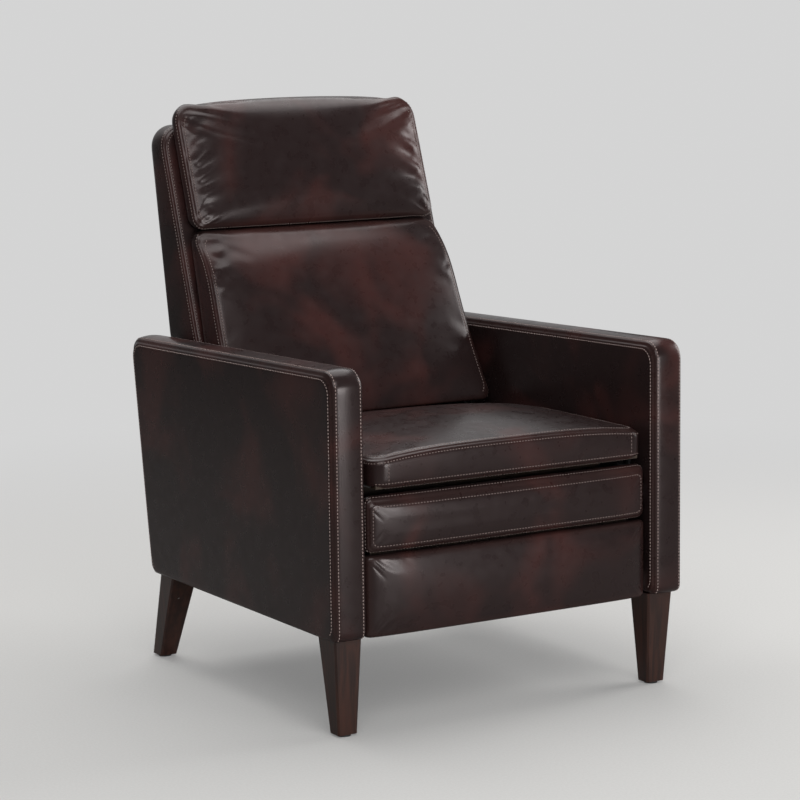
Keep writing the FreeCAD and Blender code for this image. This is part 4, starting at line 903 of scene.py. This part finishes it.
def seat_cushion():
    def top(x, y):
        fall = ramp(y, FALL_FROM, SEAT_REAR)
        arch = (END_ARCH + MORE_ARCH * np.sin(math.pi * np.clip(y / ARCH_RUN, 0, 1))) * (1 - ARCH_LOSS * fall)
        return xyz(x, y, SEAT_SEAM - SEAT_FALL * fall + arch * dome(x, ARCH_HALF, ARCH_POWER))

    def bottom(x, y):
        return xyz(x, y, SEAT_BOTTOM + SEAT_LIP * ramp(y, LIP_FROM, LIP_TO))

    cover = Cover(Outline(rectangle(SEAT_HALF, SEAT_FRONT, SEAT_REAR), [26, 26, 22, 22], 11), top, bottom,
                  edge_radii=[14.0, 11.0, 9.0, 11.0], swells=[1.5, 2.0, 0.0, 2.0], face_seam=[1] * 4,
                  rear_seam=[1, 0, 0, 0], band_rows=3)
    obj = upholster("seat_cover", cover, SEAT_RISE)
    keep_rows("seat", obj, cover, "face", [LOW, RIGHT, LEFT])
    keep_rows("seat", obj, cover, "rear", [LOW])
    for place in (CORNER_STEPS, cover.outline.run[0] - CORNER_STEPS):
        keep_upright("seat", obj, cover, place)
    dress(obj, "seat", ["seat_cushion"])


seat_cushion()

# %% [markdown]
# ## Footrest
# The footrest is a stitched bolster above a plain panel, both on one board. Both faces are full
# in the middle and pulled in at their ends.

# %% Footrest pads
FOOT_BOARD_Y, FOOT_RISE, END_DRAW = 44.6, 3.0, 7.0


def footrest_pad(name, node, half, low, high, face_y, crown, radii, swells, seam):
    middle = (low + high) / 2

    def front(x, z):
        bulge = crown * dome(x, half, 3) * dome(z - middle, high - middle, 2) ** 0.8
        return xyz(x, face_y - bulge + END_DRAW * np.abs(x / half) ** 7, z)

    def rear(x, z):
        return xyz(x, FOOT_BOARD_Y, z)

    cover = Cover(Outline(rectangle(half, low, high), [9] * 4, 8, 10.0), front, rear, radii, swells, seam,
                  band_rows=2)
    obj = upholster(name, cover, FOOT_RISE)
    if any(seam):
        keep_rows("footrest", obj, cover, "face", [LOW, RIGHT, HIGH, LEFT])
    dress(obj, "footrest", [node])


footrest_pad("footrest_bolster", "footrest_upper_pad", half=282, low=311, high=396, face_y=8.0, crown=4.0,
             radii=[9.0] * 4, swells=[1, 1, 8, 1], seam=[1] * 4)
footrest_pad("footrest_panel", "footrest_lower_pad", half=287, low=165.5, high=304, face_y=8.5, crown=4.5,
             radii=[9.0, 17.0, 9.0, 17.0], swells=[0] * 4, seam=[0] * 4)

# %% [markdown]
# ## Rear panel
# A thin padded panel closes the base behind, in line with the back above it. Its upper edge runs
# out in a thin lip that covers the slot below the back and lets the back swing in front of it.

# %% Rear panel
PANEL_HALF, PANEL_LOW, LIP_TOP = 290, 172, 372
PANEL_PROUD, PANEL_DEPTH, LIP_FLARE, LIP_GAP = 1.5, 12.0, 1.9, 1.2
FLARE_FROM, FLARE_TO, THIN_FROM, THIN_TO = 300, 340, 324, 346


def rear_panel():
    def outer(x, z):
        return xyz(-x, slab_rear(z) + PANEL_PROUD + LIP_FLARE * ramp(z, FLARE_FROM, FLARE_TO), z)

    def inner(x, z):
        return xyz(-x, slab_rear(z) - PANEL_DEPTH + (PANEL_DEPTH + LIP_GAP) * ramp(z, THIN_FROM, THIN_TO), z)

    cover = Cover(Outline(rectangle(PANEL_HALF, PANEL_LOW, LIP_TOP), [8] * 4, 10, 14.0), outer, inner,
                  edge_radii=[4.0, 4.0, 2.0, 4.0], swells=[0] * 4, face_seam=[0] * 4, band_rows=1)
    dress(upholster("rear_panel_cover", cover), "base", ["rear_panel"])


rear_panel()

# %% [markdown]
# ## Stitches
# A Geometry Nodes tree walks along the kept paths, places one small thread bead every 5.8 mm,
# turns it along the path and onto the surface, and gives it the thread finish. The result is
# made a plain mesh for each body.

# %% Stitch tree
GEOMETRY, MATERIAL = "NodeSocketGeometry", "NodeSocketMaterial"
STITCH = {"Pitch": 0.0058, "Length": 0.0043, "Thickness": 0.0021}


def stitch_tree():
    tree, given, result = new_group(
        "stitch_rows", {"Geometry": GEOMETRY, **dict.fromkeys(STITCH, FLOAT), "Thread": MATERIAL},
        {"Geometry": GEOMETRY}, "GeometryNodeTree")
    curve = add(tree, "GeometryNodeMeshToCurve", {"Mesh": given["Geometry"]})
    even = add(tree, "GeometryNodeResampleCurve", {
        "Curve": curve.outputs["Curve"], "Length": given["Pitch"]}, mode="LENGTH")
    bead = add(tree, "GeometryNodeMeshUVSphere", {"Segments": 6, "Rings": 4, "Radius": 0.5})
    size = add(tree, "ShaderNodeCombineXYZ", {"X": given["Length"], "Y": given["Thickness"], "Z": given["Thickness"]})
    shaped = add(tree, "GeometryNodeTransform", {"Geometry": bead.outputs["Mesh"], "Scale": size.outputs[0]})
    tangent = add(tree, "GeometryNodeInputTangent")
    lift = add(tree, "GeometryNodeInputNamedAttribute", {"Name": "lift"}, data_type="FLOAT_VECTOR")
    along = add(tree, "FunctionNodeAlignRotationToVector", {"Vector": tangent.outputs[0]}, axis="X")
    upright = add(tree, "FunctionNodeAlignRotationToVector", {
        "Rotation": along.outputs[0], "Vector": lift.outputs["Attribute"]}, axis="Z", pivot_axis="X")
    beads = add(tree, "GeometryNodeInstanceOnPoints", {
        "Points": even.outputs["Curve"], "Instance": shaped.outputs["Geometry"], "Rotation": upright.outputs[0]})
    real = add(tree, "GeometryNodeRealizeInstances", {"Geometry": beads.outputs["Instances"]})
    done = add(tree, "GeometryNodeSetMaterial", {"Geometry": real.outputs["Geometry"], "Material": given["Thread"]})
    tree.links.new(done.outputs["Geometry"], result["Geometry"])
    return tree


def sew(body, paths, tree):
    points = np.concatenate([places for places, _ in paths])
    lifts = np.concatenate([normals for _, normals in paths])
    edges, first = [], 0
    for places, _ in paths:
        edges += [(first + i, first + i + 1) for i in range(len(places) - 1)]
        first += len(places)
    mesh = bpy.data.meshes.new("stitches_" + body)
    mesh.from_pydata(points.tolist(), edges, [])
    mesh.attributes.new("lift", "FLOAT_VECTOR", "POINT").data.foreach_set(
        "vector", lifts.astype(np.float32).ravel())
    obj = new_object("stitches_" + body, mesh)
    rows = obj.modifiers.new("rows", "NODES")
    rows.node_group = tree
    sockets = {item.name: item.identifier for item in tree.interface.items_tree if item.in_out == "INPUT"}
    for label, value in STITCH.items():
        rows[sockets[label]] = value
    # The arms' stitches take the thread with the painted highlight.
    rows[sockets["Thread"]] = ARM_THREAD_PAINTED_HIGHLIGHT if body == "base" else DIM_THREAD
    finish_modifiers(obj)
    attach(obj, body)
    print(obj.name, "paths", len(paths), "faces", len(obj.data.polygons))


STITCH_TREE = stitch_tree()
for body_name, body_paths in STITCH_PATHS.items():
    sew(body_name, body_paths, STITCH_TREE)

# %% [markdown]
# ## Legs and frame finishes
# The legs are dark stained wood with a satin lacquer, and the hidden frame is raw timber, with
# darker wood on the rails that show. All use one grain group: noise stretched along the grain. The
# linkage is black coated steel, its fasteners are zinc plated, the straps are woven, and the
# glides are plain moulded plastic.


# %% Wood group
def wood_group():
    group, given, result = new_group(
        "wood_figure", {"Vector": VECTOR, "Light": COLOR, "Dark": COLOR}, {"Color": COLOR, "Height": FLOAT})
    rings = add(group, "ShaderNodeTexNoise", {
        "Vector": given["Vector"], "Scale": 1.0, "Detail": 4.0, "Roughness": 0.6, "Distortion": 0.8})
    pores = add(group, "ShaderNodeTexNoise", {"Vector": given["Vector"], "Scale": 6.0, "Detail": 2.0})
    figure = add(group, "ShaderNodeMapRange", {
        "Value": rings.outputs["Fac"], "From Min": 0.3, "From Max": 0.7}, interpolation_type="SMOOTHSTEP")
    group.links.new(mix(group, figure.outputs["Result"], given["Dark"], given["Light"]), result["Color"])
    group.links.new(pores.outputs["Fac"], result["Height"])
    return group


WOOD = wood_group()
print("group", WOOD.name)


# %% Frame finishes
def wood_material(name, light, dark, stretch, roughness, coat):
    material, tree, shader, place = new_material(name, {
        "Roughness": roughness, "Coat Weight": coat, "Coat Roughness": 0.25})
    grain = add(tree, "ShaderNodeMapping", {"Vector": place, "Scale": stretch})
    wood = add(tree, "ShaderNodeGroup", {"Vector": grain.outputs[0], "Light": light, "Dark": dark}, node_tree=WOOD)
    tree.links.new(wood.outputs["Color"], shader.inputs["Base Color"])
    bump(tree, shader, wood.outputs["Height"], 0.08, 0.001)
    return material


def plain_material(name, tone, speck, metallic, roughness):
    return flecked_material(name, tone, speck, scale=420.0, strength=0.12, distance=0.0004,
                            values={"Metallic": metallic, "Roughness": roughness})


def strap_material():
    material, tree, shader, place = new_material("woven_strap", {"Roughness": 0.85})
    warp, weft = (add(tree, "ShaderNodeTexWave", {"Vector": place, "Scale": 160.0}, bands_direction=way)
                  for way in ("X", "DIAGONAL"))
    weave = calculate(tree, "MULTIPLY", warp.outputs["Fac"], weft.outputs["Fac"])
    tone = mix(tree, weave, (0.035, 0.032, 0.030, 1), (0.12, 0.11, 0.10, 1))
    tree.links.new(tone, shader.inputs["Base Color"])
    bump(tree, shader, weave, 0.4, 0.0008)
    return material


ALONG_X, ALONG_Z = (8, 60, 60), (90, 90, 6)
FINISHES = {
    "leg_wood": wood_material("espresso_stain", (0.052, 0.0165, 0.0095, 1), (0.020, 0.0075, 0.0052, 1),
                              ALONG_Z, 0.36, 0.15),
    "frame_wood": wood_material("dark_rail", (0.060, 0.036, 0.022, 1), (0.030, 0.018, 0.012, 1), ALONG_X, 0.7, 0.0),
    "mechanism_steel": plain_material("black_coat", (0.012, 0.012, 0.013, 1), (0.028, 0.028, 0.030, 1), 0.0, 0.38),
    "fastener_steel": plain_material("zinc_plate", (0.48, 0.48, 0.49, 1), (0.62, 0.62, 0.63, 1), 1.0, 0.34),
    "webbing": strap_material(),
    "glide_plastic": plain_material("moulded_plastic", (0.02, 0.02, 0.02, 1), (0.035, 0.035, 0.035, 1), 0.0, 0.6),
}
RAW_TIMBER = wood_material("raw_timber", (0.58, 0.42, 0.26, 1), (0.42, 0.28, 0.16, 1), ALONG_X, 0.7, 0.0)
RAW_NODES = ("arm_frame_left", "arm_frame_right", "back_middle_rail", "back_top_rail")


def finish_nodes():
    counts = {}
    for row in frame["record"]["subparts"]:
        finish = RAW_TIMBER if row["node"] in RAW_NODES else FINISHES.get(row["material_slot"])
        obj = frame["nodes"][row["node"]]
        obj.data.materials.clear()
        obj.data.materials.append(finish or LEATHER)
        counts[row["material_slot"]] = counts.get(row["material_slot"], 0) + 1
    return counts


print("finished nodes", finish_nodes())

# %% [markdown]
# ## Floor and light
# A pale floor fills the view and keeps the chair's shadow. Glossy leather shows its light
# sources, so they are soft: a box on the right for the cushion ends, a dim card behind for the
# sheen on the seat, a strip in front for the left ends of the pads, a fill above it, a lamp over
# the chair for the floor, and a quiet grey world. Leather would show the pale floor as a grey
# veil, so glossy rays see a darker one, as with the black cards of a studio.

# %% Floor
BACKDROP = (0.66, 0.66, 0.66, 1)
FLOOR_REACH = 30.0
GLOSSY_SHARE, GLOSSY_DIM = 0.05, 0.65


def backdrop_share(tree, rays):
    """Share of the backdrop that a ray sees: all for the camera and through glass, a little in gloss."""
    straight = calculate(tree, "MAXIMUM", rays["Is Camera Ray"], rays["Is Transmission Ray"])
    return calculate(tree, "MAXIMUM", straight, calculate(tree, "MULTIPLY", rays["Is Glossy Ray"], GLOSSY_SHARE))


def pale_floor():
    mesh = bpy.data.meshes.new("floor")
    corners = rectangle(FLOOR_REACH, -FLOOR_REACH, FLOOR_REACH)
    mesh.from_pydata([(*corner, 0) for corner in corners], [], [(0, 1, 2, 3)])
    floor = new_object("floor", mesh)
    material, tree, shader, place = new_material("pale_floor", {"Roughness": 0.9})
    fleck = add(tree, "ShaderNodeTexNoise", {"Vector": place, "Scale": 220.0, "Detail": 3.0})
    tone = mix(tree, fleck.outputs["Fac"], (0.58, 0.57, 0.55, 1), (0.70, 0.69, 0.67, 1))
    rays = add(tree, "ShaderNodeLightPath").outputs
    dim = calculate(tree, "MULTIPLY", rays["Is Glossy Ray"], GLOSSY_DIM)
    tree.links.new(mix(tree, dim, tone, (0.03, 0.03, 0.03, 1)), shader.inputs["Base Color"])
    distance = add(tree, "ShaderNodeVectorMath", {0: place}, operation="LENGTH")
    far = add(tree, "ShaderNodeMapRange", {
        "Value": distance.outputs["Value"], "From Min": 0.7, "From Max": 3.0, "To Min": 0.25},
        interpolation_type="SMOOTHSTEP")
    share = calculate(tree, "MULTIPLY", far.outputs["Result"], backdrop_share(tree, rays))
    glow = add(tree, "ShaderNodeEmission", {"Color": BACKDROP, "Strength": 1.0})
    both = add(tree, "ShaderNodeMixShader", {0: share, 1: shader.outputs["BSDF"], 2: glow.outputs[0]})
    tree.links.new(both.outputs[0], tree.nodes["Material Output"].inputs["Surface"])
    floor.data.materials.append(material)
    return floor


print("stage", pale_floor().name)

# %% Lights
AMBIENT, AMBIENT_STRENGTH = (0.8, 0.82, 0.85, 1), 0.08
LIGHTS = [  # name, place, target, width, height, power
    ("box_right", (3.2, -0.4, 1.45), (0, 0.1, 0.8), 1.7, 2.0, 52),
    ("rear_card", (0.6, 2.8, 1.6), (0, 0, 0.6), 3.4, 2.2, 9),
    ("strip_front", (0.5, -3.4, 0.55), (0, -0.2, 0.4), 1.1, 0.9, 34),
    ("fill_front", (-1.5, -3.1, 2.8), (0, 0, 0.5), 2.8, 2.0, 66),
    ("top_light", (0.2, 1.0, 3.3), (0, 0.3, 0), 3.4, 3.4, 95),
]


def soft_box(name, place, target, width, height, power):
    lamp = bpy.data.lights.new(name, "AREA")
    lamp.shape = "RECTANGLE"
    lamp.size, lamp.size_y = width, height
    lamp.energy = power
    obj = new_object(name, lamp)
    obj.location = place
    obj.rotation_euler = (Vector(target) - Vector(place)).to_track_quat("-Z", "Y").to_euler()


def light_scene():
    for light in LIGHTS:
        soft_box(*light)
    world = bpy.data.worlds.new("quiet_world")
    world.use_nodes = True
    tree = world.node_tree
    ambient = tree.nodes["Background"]
    ambient.inputs["Color"].default_value = AMBIENT
    ambient.inputs["Strength"].default_value = AMBIENT_STRENGTH
    backdrop = add(tree, "ShaderNodeBackground", {"Color": BACKDROP, "Strength": 1.0})
    share = backdrop_share(tree, add(tree, "ShaderNodeLightPath").outputs)
    both = add(tree, "ShaderNodeMixShader", {0: share, 1: ambient.outputs[0], 2: backdrop.outputs[0]})
    tree.links.new(both.outputs[0], tree.nodes["World Output"].inputs["Surface"])
    bpy.context.scene.world = world
    bpy.context.scene.view_settings.view_transform = "Standard"


light_scene()
